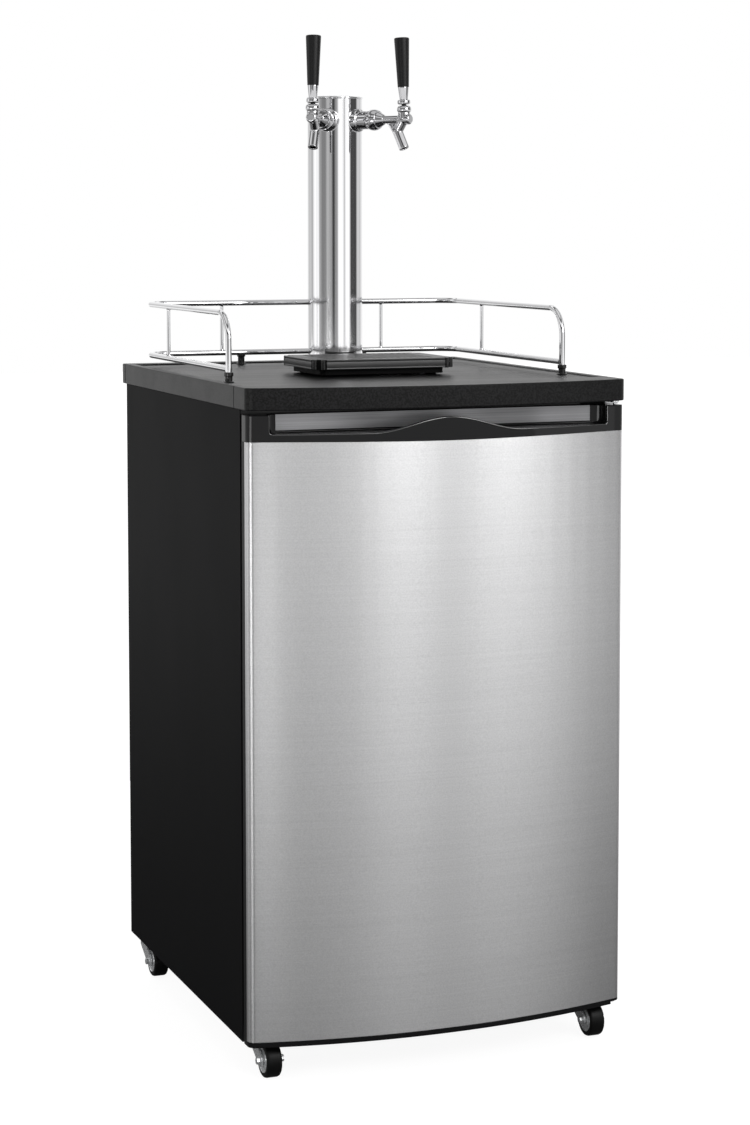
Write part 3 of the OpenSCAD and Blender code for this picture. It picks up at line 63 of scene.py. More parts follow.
class Look:
    """One output of a shader node. Sums and products of looks add their Math nodes."""

    def __init__(self, tree, socket=None):
        self.tree = tree
        self.socket = socket

    def node(self, kind, settings=None, values=None, out=0):
        """A new node of that kind: its settings first, then the values or looks of its sockets."""
        made = self.tree.nodes.new("ShaderNode" + kind)
        for key, value in (settings or {}).items():
            if key == "stops":
                steps = made.color_ramp.elements
                while len(steps) < len(value):
                    steps.new(1.0)
                for step, (place, shade) in zip(steps, value):
                    step.position = place
                    step.color = (shade, shade, shade, 1.0)
            else:
                setattr(made, key, value)
        for key, value in (values or {}).items():
            if isinstance(value, Look):
                self.tree.links.new(value.socket, made.inputs[key])
            else:
                made.inputs[key].default_value = value
        return Look(self.tree, made.outputs[out])

    def math(self, operation, *values):
        return self.node("Math", {"operation": operation}, dict(enumerate(values)))

    def __add__(self, other):
        return self.math("ADD", self, other)

    __radd__ = __add__

    def __mul__(self, other):
        return self.math("MULTIPLY", self, other)

    __rmul__ = __mul__

    def __sub__(self, other):
        return self.math("SUBTRACT", self, other)

    def __rsub__(self, other):
        return self.math("SUBTRACT", other, self)

    def step(self, low, high):
        """Nought below low, one above high, and a smooth rise between."""
        return self.node("MapRange", {"interpolation_type": "SMOOTHSTEP"},
                         {"Value": self, "From Min": low, "From Max": high})

    def tint(self, low, high):
        """The colour low where this look is nought, and high where it is one."""
        low, high = [end if isinstance(end, Look) else (*end, 1.0) for end in (low, high)]
        return self.node("Mix", {"data_type": "RGBA"}, {0: self, 6: low, 7: high}, 2)

    def axis(self, name):
        return self.node("SeparateXYZ", values={0: self}, out=name)


studio = bpy.data.worlds.new("studio")
studio.use_nodes = True
scene.world = studio
air = Look(studio.node_tree)
way = air.node("TexCoord", out="Generated")
east, north, up = [way.axis(name) for name in "XYZ"]
view_sine, view_cosine = 0.3596, 0.9331
towards = east * -view_sine + north * -view_cosine
rightward = east * view_cosine + north * -view_sine
turn = towards.math("ARCTAN2", rightward, towards) * (0.5 / math.pi) + 0.5
around = [(-180, 1.1), (-150, 0.95), (-141, 0.6), (-124, 0.7), (-116, 0.55), (-106, 0.55), (-97, 1.3),
          (-73, 1.3), (-66, 0.45), (-54, 0.3), (-38, 0.3), (-30, 0.55), (-21, 0.5), (-12, 0.38),
          (-8, 0.07), (-2, 0.07), (3, 0.32), (11, 0.45), (17, 1.3), (37, 1.3), (40, 0.75), (43, 0.75),
          (47, 1.3), (64, 1.3), (71, 0.08), (100, 0.07), (110, 0.7), (180, 1.1)]
shades = [(angle / 360.0 + 0.5, shade) for angle, shade in around]
ring = turn.node("ValToRGB", {"stops": shades}, {0: turn})
above = [(0.0, 0.42), (0.34, 0.42), (0.41, 0.06), (0.50, 0.06), (0.56, 1.1), (0.70, 1.1), (0.76, 0.2),
         (0.86, 0.15), (0.93, 0.8), (1.0, 0.8)]
ceiling = up.node("ValToRGB", {"stops": above}, {0: up})
overhead = (up + 0.15 * towards).step(0.25, 0.45)
surround = overhead.tint(ring, ceiling)
eye = air.node("LightPath", out="Is Camera Ray") + air.node("LightPath", out="Is Transmission Ray")
sky = studio.node_tree.nodes["Background"]
studio.node_tree.links.new(eye.tint(surround, (1.0, 1.0, 1.0)).socket, sky.inputs["Color"])


def softbox(name, place, aim, size, watts, mirrored):
    """A rectangular soft lamp; mirrored says whether glossy surfaces show it."""
    lamp = bpy.data.lights.new(name, "AREA")
    lamp.shape = "RECTANGLE"
    lamp.size, lamp.size_y = size
    lamp.energy = watts
    stand = bpy.data.objects.new(name, lamp)
    stand.location = place
    stand.rotation_euler = (Vector(aim) - Vector(place)).to_track_quat("-Z", "Y").to_euler()
    stand.visible_camera = False
    stand.visible_glossy = mirrored
    scene.collection.objects.link(stand)


softbox("key_left", (0.92, -3.48, 2.45), (0.0, 0.0, 0.6), (0.75, 1.6), 27.0, True)
softbox("key_right", (2.0, -3.0, 2.45), (0.0, 0.0, 0.6), (0.75, 1.6), 27.0, True)
softbox("fill_box", (-3.0, -1.6, 1.9), (0.0, 0.0, 0.5), (1.4, 1.8), 18.0, False)
softbox("corner_box", (-1.90, -1.65, 0.53), (-0.25, -0.26, 0.53), (1.1, 0.34), 6.5, True)
softbox("right_box", (1.94, -1.97, 0.52), (0.24, -0.27, 0.52), (0.8, 0.34), 0.6, True)
softbox("edge_strip", (-0.684, -3.135, 0.25), (-0.235, -0.27, 0.25), (0.15, 0.44), 1.0, True)


def finish(name, constants, varied):
    """A material: constants go on the shader's own sockets, and varied(spot) feeds the others."""
    made = bpy.data.materials.new(name)
    made.use_nodes = True
    shader = made.node_tree.nodes["Principled BSDF"]
    for socket, value in constants.items():
        shader.inputs[socket].default_value = value
    spot = Look(made.node_tree).node("TexCoord", out="Object")
    for socket, look in varied(spot).items():
        made.node_tree.links.new(look.socket, shader.inputs[socket])
    return made


def floor_paint(spot):
    away = spot.node("VectorMath", {"operation": "LENGTH"}, {0: spot}, "Value")
    seen = spot.node("LightPath", out="Is Camera Ray") * (0.92 + 0.08 * away.step(0.8, 3.4))
    # To glossy rays the floor glows dark round the object and brighter far off: painted shade near the
    # object and painted light further out, seen in reflections on the metal.
    mirrored = spot.node("LightPath", out="Is Glossy Ray") * (0.03 + 0.92 * away.step(0.4, 6.0))
    return {"Emission Color": (seen + mirrored).tint((0.0, 0.0, 0.0), (1.0, 1.0, 1.0))}


sheet = bmesh.new()
bmesh.ops.create_grid(sheet, x_segments=2, y_segments=2, size=14.0)
bmesh.ops.translate(sheet, verts=sheet.verts, vec=(0.0, 0.0, -0.2 * MM))
floor_mesh = bpy.data.meshes.new("floor")
sheet.to_mesh(floor_mesh)
sheet.free()
floor_grey = {"Base Color": (0.16, 0.16, 0.16, 1.0), "Roughness": 0.9, "Emission Strength": 1.0}
floor_mesh.materials.append(finish("floor", floor_grey, floor_paint))
floor = bpy.data.objects.new("floor", floor_mesh)
scene.collection.objects.link(floor)


# Cabinet wrap and back panel: one folded steel sheet makes both sides and the top, and a flat sheet
# closes the back above the machine bay. Both are powder coated black before the shell is foamed.
def grain(spot, stretch, detail=3.0):
    """Noise: stretch is how many grains lie in a metre, alike on every axis or along X, Y and Z."""
    scale = stretch if isinstance(stretch, tuple) else (stretch,) * 3
    spread = spot.node("Mapping", values={"Vector": spot, "Scale": scale})
    return spot.node("TexNoise", values={"Vector": spread, "Scale": 1.0, "Detail": detail})


def bump(height, depth):
    return height.node("Bump", values={"Height": height, "Distance": depth, "Strength": 1.0})


def clouded(name, constants, grains, dark, pale, rough, swing, detail=3.0, depth=0.0, height=None):
    """A material whose colour and roughness follow one noise. Its surface stands up by depth, after the
    same noise or after the look that height makes."""
    def varied(spot):
        cloud = grain(spot, grains, detail)
        looks = {"Base Color": cloud.tint(dark, pale), "Roughness": rough + swing * cloud}
        if depth:
            looks["Normal"] = bump(height(spot) if height else cloud, depth)
        return looks

    return finish(name, constants, varied)


WELD = 2e-6


def merged(node):
    """A copy of a solid with its triangles merged into whole faces."""
    shape = bmesh.new()
    shape.from_mesh(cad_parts[node].data)
    bmesh.ops.remove_doubles(shape, verts=shape.verts, dist=WELD)
    bmesh.ops.dissolve_limit(shape, angle_limit=math.radians(0.4), verts=shape.verts, edges=shape.edges)
    return shape


def sharper(shape, angle):
    """The edges of a shape where its faces turn by more than so many degrees."""
    return [e for e in shape.edges if e.is_manifold and e.calc_face_angle() > math.radians(angle)]


def rounded(shape, geom, radius, steps, clamp=False, affect="EDGES"):
    """Rounds over some edges of a shape, or some corners of an outline."""
    bmesh.ops.bevel(shape, geom=geom, offset=radius, offset_type="OFFSET", segments=steps, profile=0.5,
                    affect=affect, clamp_overlap=clamp, material=-1)
    return shape


def eased(node, width, steps=2, angle=35.0, where=None):
    """A merged copy of a solid with its edges sharper than angle rounded over. Where says of the middle
    of an edge whether it is one of them."""
    shape = merged(node)
    sharp = [e for e in sharper(shape, angle)
             if where is None or where(0.5 * (e.verts[0].co + e.verts[1].co))]
    return rounded(shape, sharp, width, steps)


def place(name, shape, body, material, slot, *nodes, second=None):
    """Makes the finished object of a shape, on its body and in place of its solids. Its slot is not
    used.
    Second is the material of the faces that are marked for it."""
    mesh = bpy.data.meshes.new(name)
    shape.to_mesh(mesh)
    shape.free()
    mesh.shade_smooth()
    mesh.set_sharp_from_angle(angle=math.radians(40.0))
    mesh.materials.append(material)
    piece = bpy.data.objects.new(name, mesh)
    scene.collection.objects.link(piece)
    smooth = piece.modifiers.new("flat_faces", "WEIGHTED_NORMAL")
    smooth.keep_sharp = True
    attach(piece, body)
    if nodes:
        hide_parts(*nodes)
    if second:
        mesh.materials.append(second)


def dressed(name, node, body, material, slot, *easing):
    """Puts an eased copy of a solid in its place."""
    place(name, eased(node, *easing), body, material, slot, node)


black_coat = clouded("black_coat", {"Specular IOR Level": 0.02}, (5.0, 5.0, 3.0),
                     (0.0058, 0.0058, 0.0062), (0.0085, 0.0085, 0.009), rough=0.46, swing=0.1,
                     depth=0.05 * MM, height=lambda spot: grain(spot, 420.0, 2.0))
dressed("cabinet_sides", "cabinet_wrap", "cabinet", black_coat, "black_steel", 0.35 * MM)
dressed("cabinet_back", "back_panel", "cabinet", black_coat, "black_steel", 0.3 * MM)


# Sheet-metal screws: pan heads along the edges of the back panel, zinc plated, driven into the
# folded edge of the wrap. Each head is turned, with a low cross on its crown.
def turned(stations, sides=48, rounding=0.0, closed=False):
    """A lathe-turned shape round Z: stations are (radius, height) pairs in millimetres, foot first."""
    shape = bmesh.new()
    path = [shape.verts.new((radius * MM, 0.0, height * MM)) for radius, height in stations]
    for low, high in zip(path, path[1:] + path[:1] if closed else path[1:]):
        shape.edges.new((low, high))
    bmesh.ops.spin(shape, geom=shape.verts[:] + shape.edges[:], cent=(0.0, 0.0, 0.0),
                   axis=(0.0, 0.0, 1.0), dvec=(0.0, 0.0, 0.0), angle=2.0 * math.pi, steps=sides,
                   use_merge=True, use_duplicate=False)
    bmesh.ops.remove_doubles(shape, verts=shape.verts, dist=WELD)
    bmesh.ops.recalc_face_normals(shape, faces=shape.faces)
    if rounding:
        rounded(shape, sharper(shape, 25.0), rounding * MM, 3)
    return shape


def moved(shape, matrix):
    bmesh.ops.transform(shape, matrix=matrix, verts=shape.verts)
    return shape


def joined(shapes):
    """Several shapes in one."""
    whole = bmesh.new()
    for shape in shapes:
        part = bpy.data.meshes.new("part")
        shape.to_mesh(part)
        shape.free()
        whole.from_mesh(part)
        bpy.data.meshes.remove(part)
    return whole


zinc = clouded("zinc", {"Metallic": 1.0}, 160.0, (0.42, 0.43, 0.44), (0.58, 0.59, 0.60), rough=0.26,
               swing=0.2)


def pan_head(radius, height):
    """A screw head with a low cross on its crown, its seat at the origin and its crown up."""
    head = turned([(0.0, 0.0), (radius, 0.0), (radius, 0.45 * height), (0.86 * radius, 0.8 * height),
                   (0.45 * radius, height), (0.0, height)], 24)
    arm_l, arm_w, arm_t, arm_rise = 1.1, 0.22, 0.12, 0.02
    for across, along in ((arm_l, arm_w), (arm_w, arm_l)):
        arm = bmesh.ops.create_cube(head, size=1.0)["verts"]
        bmesh.ops.scale(head, vec=(across * radius * MM, along * radius * MM, arm_t * MM), verts=arm)
        bmesh.ops.translate(head, vec=(0.0, 0.0, (height + arm_rise) * MM), verts=arm)
    return head


screw_inset = 0.012
facing_back = Matrix.Rotation(-math.pi / 2, 4, "X")
back_low, back_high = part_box("back_panel")
back_screws = []
for across in (back_low.x + screw_inset, back_high.x - screw_inset):
    for share in (0.04, 0.35, 0.66, 0.97):
        at = Vector((across, back_high.y, back_low.z + share * (back_high.z - back_low.z)))
        back_screws.append(moved(pan_head(4.2, 2.2), Matrix.Translation(at) @ facing_back))
place("back_screws", joined(back_screws), "cabinet", zinc, "plain_steel")


# Base pan: pressed from thicker steel, with a lip along its front and rear edges that hides the
# casters' sockets. It is dipped in black primer, so it is duller than the sides.
primer_coat = clouded("primer_coat", {"Specular IOR Level": 0.3}, 24.0, (0.010, 0.010, 0.011),
                      (0.020, 0.020, 0.021), rough=0.55, swing=0.2, detail=4.0, depth=0.08 * MM,
                      height=lambda spot: grain(spot, 300.0, 2.0))
dressed("base", "base_pan", "cabinet", primer_coat, "black_steel", 0.4 * MM)


# Insulation: foam poured between the sheets and left in place, in the cabinet and in the door.
# It is shut in on every side, so the solids stay as they are and only take its colour.
def foam_cells(spot):
    cells = spot.node("TexVoronoi", values={"Vector": spot, "Scale": 420.0})
    return {"Base Color": cells.tint((0.60, 0.52, 0.32), (0.78, 0.71, 0.50)),
            "Normal": bump(cells, 0.5 * MM)}


foam = finish("foam", {"Roughness": 0.85}, foam_cells)
for node in ("cabinet_foam", "door_foam"):
    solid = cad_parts[node].data
    solid.materials.clear()
    solid.materials.append(foam)


# Keg space: one sheet of white plastic is vacuum formed into a box with a step over the machine bay,
# so its inside corners are well rounded. The foam behind holds it. Its flange, which closes the front
# and shows in the gap round the door, is coloured near black as painted shade in that gap.
def formed(node, radius):
    """A copy of a solid with its long hollow corners filled to a radius, as forming leaves them."""
    shape = merged(node)
    hollow = [e for e in sharper(shape, 60.0) if not e.is_convex and e.calc_length() > 0.1]
    return rounded(shape, hollow, radius, 5)


def liner_plastic(spot):
    flange_face, flange_end = -0.2350, -0.2342
    cloud = grain(spot, 6.0)
    # The flange's front is coloured near black: painted shade in the gap round the door.
    flange_shade = 1.0 - spot.axis("Y").step(flange_face, flange_end)
    white = cloud.tint((0.66, 0.67, 0.68), (0.74, 0.75, 0.76))
    return {"Base Color": flange_shade.tint(white, (0.006, 0.006, 0.006)),
            "Roughness": 0.28 + 0.12 * cloud,
            "Normal": bump(grain(spot, 150.0, 2.0), 0.08 * MM)}


white_plastic = finish("white_plastic", {}, liner_plastic)
place("keg_space", formed("inner_liner", 9.0 * MM), "cabinet", white_plastic, "white_liner",
      "inner_liner")


# Keg floor plate: a steel tread plate cut with rounded corners, laid loose on the liner's floor to
# spread the keg's weight. Raised bars are rolled into it, each square to the next.
tread_steel = clouded("tread_steel", {"Metallic": 1.0}, 60.0, (0.44, 0.45, 0.46), (0.60, 0.61, 0.62),
                      rough=0.26, swing=0.2, detail=4.0, depth=0.02 * MM,
                      height=lambda spot: grain(spot, (4.0, 300.0, 300.0), 2.0))
plate_low, plate_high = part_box("keg_floor_plate")
plate = eased("keg_floor_plate", 0.4 * MM)
bar_rows, bar_columns = 10, 14
bar_size, bar_taper = (17.0, 4.4, 1.6, 1.0), (0.7, 0.7, 1.0)
for row in range(bar_rows):
    for column in range(bar_columns):
        at = Vector((plate_low.x + (column + 0.5) / bar_columns * (plate_high.x - plate_low.x),
                     plate_low.y + (row + 0.5) / bar_rows * (plate_high.y - plate_low.y), plate_high.z))
        lean = Matrix.Rotation(math.radians(45.0 if (row + column) % 2 else -45.0), 4, "Z")
        stretched = Matrix.Translation(at) @ lean @ Matrix.Diagonal(bar_size)
        bar = bmesh.ops.create_cube(plate, size=MM, matrix=stretched)["verts"]
        bmesh.ops.scale(plate, vec=bar_taper, space=Matrix.Translation(-at),
                        verts=[v for v in bar if v.co.z > plate_high.z])
place("keg_plate", plate, "cabinet", tread_steel, "plain_steel", "keg_floor_plate")


# Evaporator: two aluminium sheets rolled together, with the refrigerant's channel blown up between
# them as a raised run to and fro. It stands off the rear wall on four posts.
def bent_rod(start, heading, radius, moves, sides=20):
    """A rod that starts at a point and heads along an axis. A move is a length to run on, or a bend:
    its centre, its axis and its degrees."""
    shape = bmesh.new()
    frame_in = Matrix.Translation(start) @ Vector(heading).to_track_quat("Z", "Y").to_matrix().to_4x4()
    bmesh.ops.create_circle(shape, cap_ends=False, radius=radius, segments=sides, matrix=frame_in)
    first = shape.edges[:]
    last = first
    way_on = Vector(heading).normalized()
    for move in moves:
        if isinstance(move, float):
            drawn = bmesh.ops.extrude_edge_only(shape, edges=last)["geom"]
            ring_verts = [g for g in drawn if isinstance(g, bmesh.types.BMVert)]
            bmesh.ops.translate(shape, vec=way_on * move, verts=ring_verts)
            fresh = set(ring_verts)
            last = [g for g in drawn if isinstance(g, bmesh.types.BMEdge) and fresh.issuperset(g.verts)]
        else:
            centre, axis, degrees = move
            ends = list({v for e in last for v in e.verts})
            swept = bmesh.ops.spin(shape, geom=ends + last, cent=centre, axis=axis, dvec=(0.0, 0.0, 0.0),
                                   angle=math.radians(degrees), steps=max(4, int(abs(degrees) / 7.5)),
                                   use_merge=False, use_duplicate=False)
            last = [g for g in swept["geom_last"] if isinstance(g, bmesh.types.BMEdge)]
            way_on = Matrix.Rotation(math.radians(degrees), 3, axis) @ way_on
    bmesh.ops.holes_fill(shape, edges=first + last, sides=0)
    bmesh.ops.recalc_face_normals(shape, faces=shape.faces)
    return shape


aluminium = clouded("aluminium", {"Metallic": 1.0}, 90.0, (0.58, 0.60, 0.62), (0.70, 0.71, 0.73),
                    rough=0.34, swing=0.16, detail=4.0, depth=0.03 * MM)
panel_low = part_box("evaporator_plate")[0]
channel_r, channel_hw, channel_pitch, channel_turns = 3.2 * MM, 0.13, 0.048, 5
channel_z = panel_low.z + 0.03
channel_moves = []
for count in range(channel_turns):
    sense = 1.0 if count % 2 == 0 else -1.0
    channel_moves.append(2.0 * channel_hw)
    channel_moves.append(((sense * channel_hw, panel_low.y, channel_z + (count + 0.5) * channel_pitch),
                          (0.0, -sense, 0.0), 180.0))
channel_moves.append(2.0 * channel_hw)
channel = bent_rod((-channel_hw, panel_low.y, channel_z), (1.0, 0.0, 0.0), channel_r, channel_moves, 16)
place("evaporator", joined([eased("evaporator_plate", 0.8 * MM), channel]), "cabinet", aluminium,
      "aluminium", "evaporator_plate")


# Thermostat: a moulded box screwed to the ceiling of the keg space, with a ribbed knob on a spindle.
# A pale pointer is moulded into the knob, and a scale of raised dots runs round it.
def rounded_block(low, high, rounding):
    """A block between two corners in millimetres with all its edges rounded over."""
    shape = bmesh.new()
    bmesh.ops.create_cube(shape, size=1.0)
    low, high = Vector(low) * MM, Vector(high) * MM
    bmesh.ops.scale(shape, vec=high - low, verts=shape.verts)
    bmesh.ops.translate(shape, vec=0.5 * (low + high), verts=shape.verts)
    return rounded(shape, shape.edges[:], rounding * MM, 3, clamp=True)


grey_plastic = clouded("grey_plastic", {}, 900.0, (0.54, 0.55, 0.56), (0.62, 0.63, 0.64), rough=0.42,
                       swing=0.1, detail=2.0, depth=0.05 * MM)
dark_plastic = clouded("dark_plastic", {}, 1200.0, (0.030, 0.031, 0.033), (0.045, 0.046, 0.048),
                       rough=0.38, swing=0.14, detail=2.0, depth=0.05 * MM)
dressed("thermostat_box", "thermostat_housing", "cabinet", grey_plastic, "white_liner", 2.2 * MM, 3)
dressed("thermostat_dial", "thermostat_knob", "knob", dark_plastic, "dark_plastic", 0.6 * MM)
box_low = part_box("thermostat_housing")[0]
dial_low, dial_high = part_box("thermostat_knob")
dial_x = 0.5 * (dial_low.x + dial_high.x)
dial_z = 0.5 * (dial_low.z + dial_high.z)
pointer = rounded_block((-0.9, -0.3, 5.5), (0.9, 0.3, 14.5), 0.25)
place("dial_pointer", moved(pointer, Matrix.Translation((dial_x, dial_low.y, dial_z))), "knob",
      grey_plastic, "white_liner")
scale_r = 20.0 * MM
scale_dots = []
for degrees in range(-135, 136, 45):
    angle = math.radians(degrees)
    dot = turned([(1.5, -0.3), (1.5, 0.35), (0.9, 0.7), (0.0, 0.8)], 16)
    at = Vector((dial_x + scale_r * math.sin(angle), box_low.y, dial_z + scale_r * math.cos(angle)))
    scale_dots.append(moved(dot, Matrix.Translation(at) @ Matrix.Rotation(math.pi / 2, 4, "X")))
place("thermostat_scale", joined(scale_dots), "cabinet", dark_plastic, "dark_plastic")


# Compressor: a drawn steel can welded shut round its waist and painted black, on a plate with rubber
# feet. A plastic cover clips over its terminals, and copper stubs are brazed to it.
can_low, can_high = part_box("compressor")
can_x = 0.5 * (can_low.x + can_high.x)
can_y = 0.5 * (can_low.y + can_high.y)
seam_rise = 0.058
dressed("compressor_can", "compressor", "cabinet", primer_coat, "black_steel", 1.6 * MM, 3, 30.0)
seam = turned([(61.0, 0.0), (64.2, 0.4), (65.0, 2.2), (64.2, 4.0), (61.0, 4.4)], 72, closed=True)
place("compressor_seam", moved(seam, Matrix.Translation((can_x, can_y, can_low.z + seam_rise))),
      "cabinet", primer_coat, "black_steel")
cover = rounded_block((-80.0, -23.0, 27.0), (-56.0, 23.0, 69.0), 3.0)
place("terminal_cover", moved(cover, Matrix.Translation((can_x, can_y, can_low.z))), "cabinet",
      dark_plastic, "dark_plastic")
copper = clouded("copper", {"Metallic": 1.0}, 70.0, (0.40, 0.17, 0.09), (0.62, 0.30, 0.17), rough=0.25,
                 swing=0.25, detail=4.0)
stub_r, stub_out, stub_back, stub_sunk, stub_end, elbow_r = 3.0 * MM, 0.028, 0.045, 0.026, 0.022, 0.018
stubs = []
for sign, rise in ((-1.0, 0.045), (1.0, 0.030)):
    root = Vector((can_x + sign * stub_out, can_y + stub_back, can_high.z - stub_sunk))
    elbow = root + Vector((0.0, -elbow_r, rise))
    stub_moves = [rise, (elbow, (1.0, 0.0, 0.0), 90.0), stub_end]
    stubs.append(bent_rod(root, (0.0, 0.0, 1.0), stub_r, stub_moves, 14))
place("refrigerant_stubs", joined(stubs), "cabinet", copper, "brass")


# Condenser: a steel tube bent to and fro with wires spot welded across it, dipped black and hung on
# the back panel on four pads.
dressed("condenser_grid", "condenser", "cabinet", primer_coat, "black_steel", 0.1 * MM, 1, 60.0)


# Worktop: a black moulding in three snapped-together parts: a deck with a raised rim and a skirt, a
# bowed nose that wraps both front corners, and a strip along the rear. All have a fine pebbled grain.
def pebbles(spot, number, softness):
    """The round cells of a pebbled grain, so many of them in a metre."""
    return spot.node("TexVoronoi", {"feature": "SMOOTH_F1"},
                     {"Vector": spot, "Scale": number, "Smoothness": softness})


def pebbled(spot):
    cloud = grain(spot, 7.0, 4.0)
    streak = grain(spot, (3.0, 46.0, 46.0))
    speck = grain(spot, 420.0, 2.0).step(0.35, 0.65)
    return {"Base Color": speck.tint((0.002, 0.002, 0.002), (0.012, 0.012, 0.0125)),
            "Roughness": 0.30 + 0.08 * cloud + 0.08 * streak,
            "Normal": bump(pebbles(spot, 900.0, 0.6), 0.09 * MM)}


pebbled_black = finish("pebbled_black", {"Specular IOR Level": 0.16}, pebbled)
for name, node, edge in (("deck", "worktop", 1.4 * MM), ("deck_nose", "worktop_front_trim", 1.6 * MM),
                         ("deck_strip", "worktop_rear_trim", 1.6 * MM)):
    dressed(name, node, "cabinet", pebbled_black, "black_moulding", edge, 3)


# Sleeve, grommet and gland: moulded rubber pushed through the shell: the drink lines' sleeve into the
# tower, the gas line's grommet in the rear wall and the mains lead's gland in the base pan.
rubber = clouded("rubber", {"Specular IOR Level": 0.4}, 120.0, (0.010, 0.010, 0.010),
                 (0.022, 0.022, 0.022), rough=0.58, swing=0.2, detail=4.0, depth=0.06 * MM)
for node in ("line_grommet", "gas_inlet_grommet", "power_inlet"):
    dressed(node + "_skin", node, "cabinet", rubber, "black_rubber", 0.8 * MM, 2, 50.0)


# Hinges: two bent steel plates screwed to the cabinet's front flange, with a bright turned pin riveted
# in the end of each. The upper plate is coloured near black short of its pin, as painted shade in the
# gap above the door. The door hangs on the lower pin.
def hinge_steel(spot):
    patch = grain(spot, 160.0)
    pin_end = spot.axis("X").step(0.2412, 0.2420)
    # The upper plate is near black short of its pin: painted shade in the gap above the door.
    shaded_upper_plate = spot.axis("Z").step(0.1, 0.2)
    bright = (pin_end + (1.0 - shaded_upper_plate)).step(0.0, 1.0)
    return {"Base Color": bright.tint((0.007, 0.007, 0.007), (0.75, 0.75, 0.76)),
            "Metallic": bright,
            "Roughness": 0.55 - 0.33 * bright + 0.12 * patch}


hinge_finish = finish("hinge_finish", {"Specular IOR Level": 0.16}, hinge_steel)
dressed("hinges", "hinge_brackets", "cabinet", hinge_finish, "plain_steel", 0.4 * MM, 2, 50.0)


# Door skin: a stainless sheet bowed over the door's front and folded round both sides. It is brushed
# across the door and lightly blasted, so it has a fine speckle and its highlights stand upright.
def brushed(spot):
    fine = grain(spot, (5.0, 5.0, 1500.0), 2.0)
    broad = grain(spot, (2.2, 2.2, 330.0))
    cloud = grain(spot, (2.0, 2.0, 2.4), 2.0)
    speck = grain(spot, 520.0, 2.0)
    line = 0.6 * fine + 0.4 * broad
    mottle = 0.6 * speck + 0.4 * line
    return {"Base Color": mottle.tint((0.46, 0.46, 0.465), (0.80, 0.80, 0.805)),
            "Roughness": 0.26 + 0.07 * line + 0.03 * cloud,
            "Normal": bump(line, 0.02 * MM)}


brush_lines = {"Metallic": 1.0, "Anisotropic": 0.87, "Anisotropic Rotation": 0.25}
brushed_steel = finish("brushed_steel", brush_lines, brushed)
dressed("door_front", "door_skin", "door", brushed_steel, "stainless", 0.3 * MM, 2, 50.0)


# Door caps: black mouldings that close the door's top and bottom. The top one holds the handle
# pocket, whose rim is polished, with a lip that rises in a wave in the middle for the fingers.
ledge_top, pocket_top, pocket_hw, rim_depth = 0.806, 0.8335, 0.2306, 1.4 * MM
bow_middle, bow_radius = Vector((0.0, 0.6911)), 0.9891


def above_ledge(middle):
    """The edges round the pocket and the top, not the ledge behind the skin or the hinge pin's hole."""
    pin_x, pin_y, pin_clear = 0.248, -0.255, 0.006
    return middle.z > ledge_top and (middle - Vector((pin_x, pin_y, middle.z))).length > pin_clear


def on_rim(face, middle):
    """The pocket's rim: faces beside the pocket and near the bowed front that turn up or inward."""
    near_front = (middle.xy - bow_middle).length > bow_radius - rim_depth
    by_pocket = abs(middle.x) < pocket_hw and ledge_top < middle.z < pocket_top
    turned_in = face.normal.z > 0.12 or face.normal.x * middle.x < -0.1 * abs(middle.x)
    return near_front and by_pocket and turned_in


def marked(shape, chosen):
    """Marks the faces for a piece's second material that chosen picks by the face and its middle."""
    for face in shape.faces:
        face.material_index = int(chosen(face, face.calc_center_median()))
    return shape


cap_coat = {"Specular IOR Level": 0.02, "Coat Weight": 0.34, "Coat Roughness": 0.03}
cap_black = clouded("cap_black", cap_coat, 9.0, (0.0055, 0.0055, 0.006), (0.008, 0.008, 0.0085),
                    rough=0.16, swing=0.08, detail=4.0, depth=0.02 * MM,
                    height=lambda spot: pebbles(spot, 1000.0, 0.7))
rim_coat = {"Specular IOR Level": 1.0, "Coat Weight": 1.0, "Coat Roughness": 0.05}
rim_gloss = clouded("rim_gloss", rim_coat, 30.0, (0.008, 0.008, 0.008), (0.014, 0.014, 0.014),
                    rough=0.10, swing=0.06)
door_cap = marked(eased("door_top_cap", 1.3 * MM, 4, 40.0, above_ledge), on_rim)
place("door_cap_top", door_cap, "door", cap_black, "black_moulding", "door_top_cap", second=rim_gloss)
dressed("door_cap_bottom", "door_bottom_cap", "door", cap_black, "black_moulding", 0.8 * MM, 2, 50.0)


# Bright strip: brushed aluminium foil on a plastic backing, pressed on to the rear wall of the pocket
# just clear of its floor, so that the wave-shaped lip stands out against it.
def foil(spot):
    dull = grain(spot, (9.0, 9.0, 4.0), 1.0).step(0.3, 0.7)
    line = 0.5 * grain(spot, (6.0, 6.0, 900.0), 2.0) + 0.5 * dull
    return {"Base Color": line.tint((0.09, 0.09, 0.092), (0.36, 0.36, 0.37)),
            "Roughness": 0.34 + 0.08 * line,
            "Normal": bump(grain(spot, (16.0, 1.0, 7.0), 1.0), 1.2 * MM)}


bright_foil = finish("bright_foil", {"Metallic": 1.0}, foil)
strip_low, strip_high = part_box("handle_insert")
end_gap, foot_gap, top_gap = 1.5, 2.8, 0.5
strip = rounded_block(strip_low / MM + Vector((end_gap, 0.0, foot_gap)),
                      strip_high / MM - Vector((end_gap, 0.0, top_gap)), 0.3)
place("pocket_strip", strip, "door", bright_foil, "bright_strip", "handle_insert")


# Door back and gasket: a plastic back is pressed with a sunk panel and closed on the foam, and a
# ribbed magnetic gasket is pushed into its edge to seal against the cabinet's flange.
def behind_skin(middle):
    """The edges of the back that stand clear of the skin's folds."""
    fold_end = -0.25
    return middle.y > fold_end


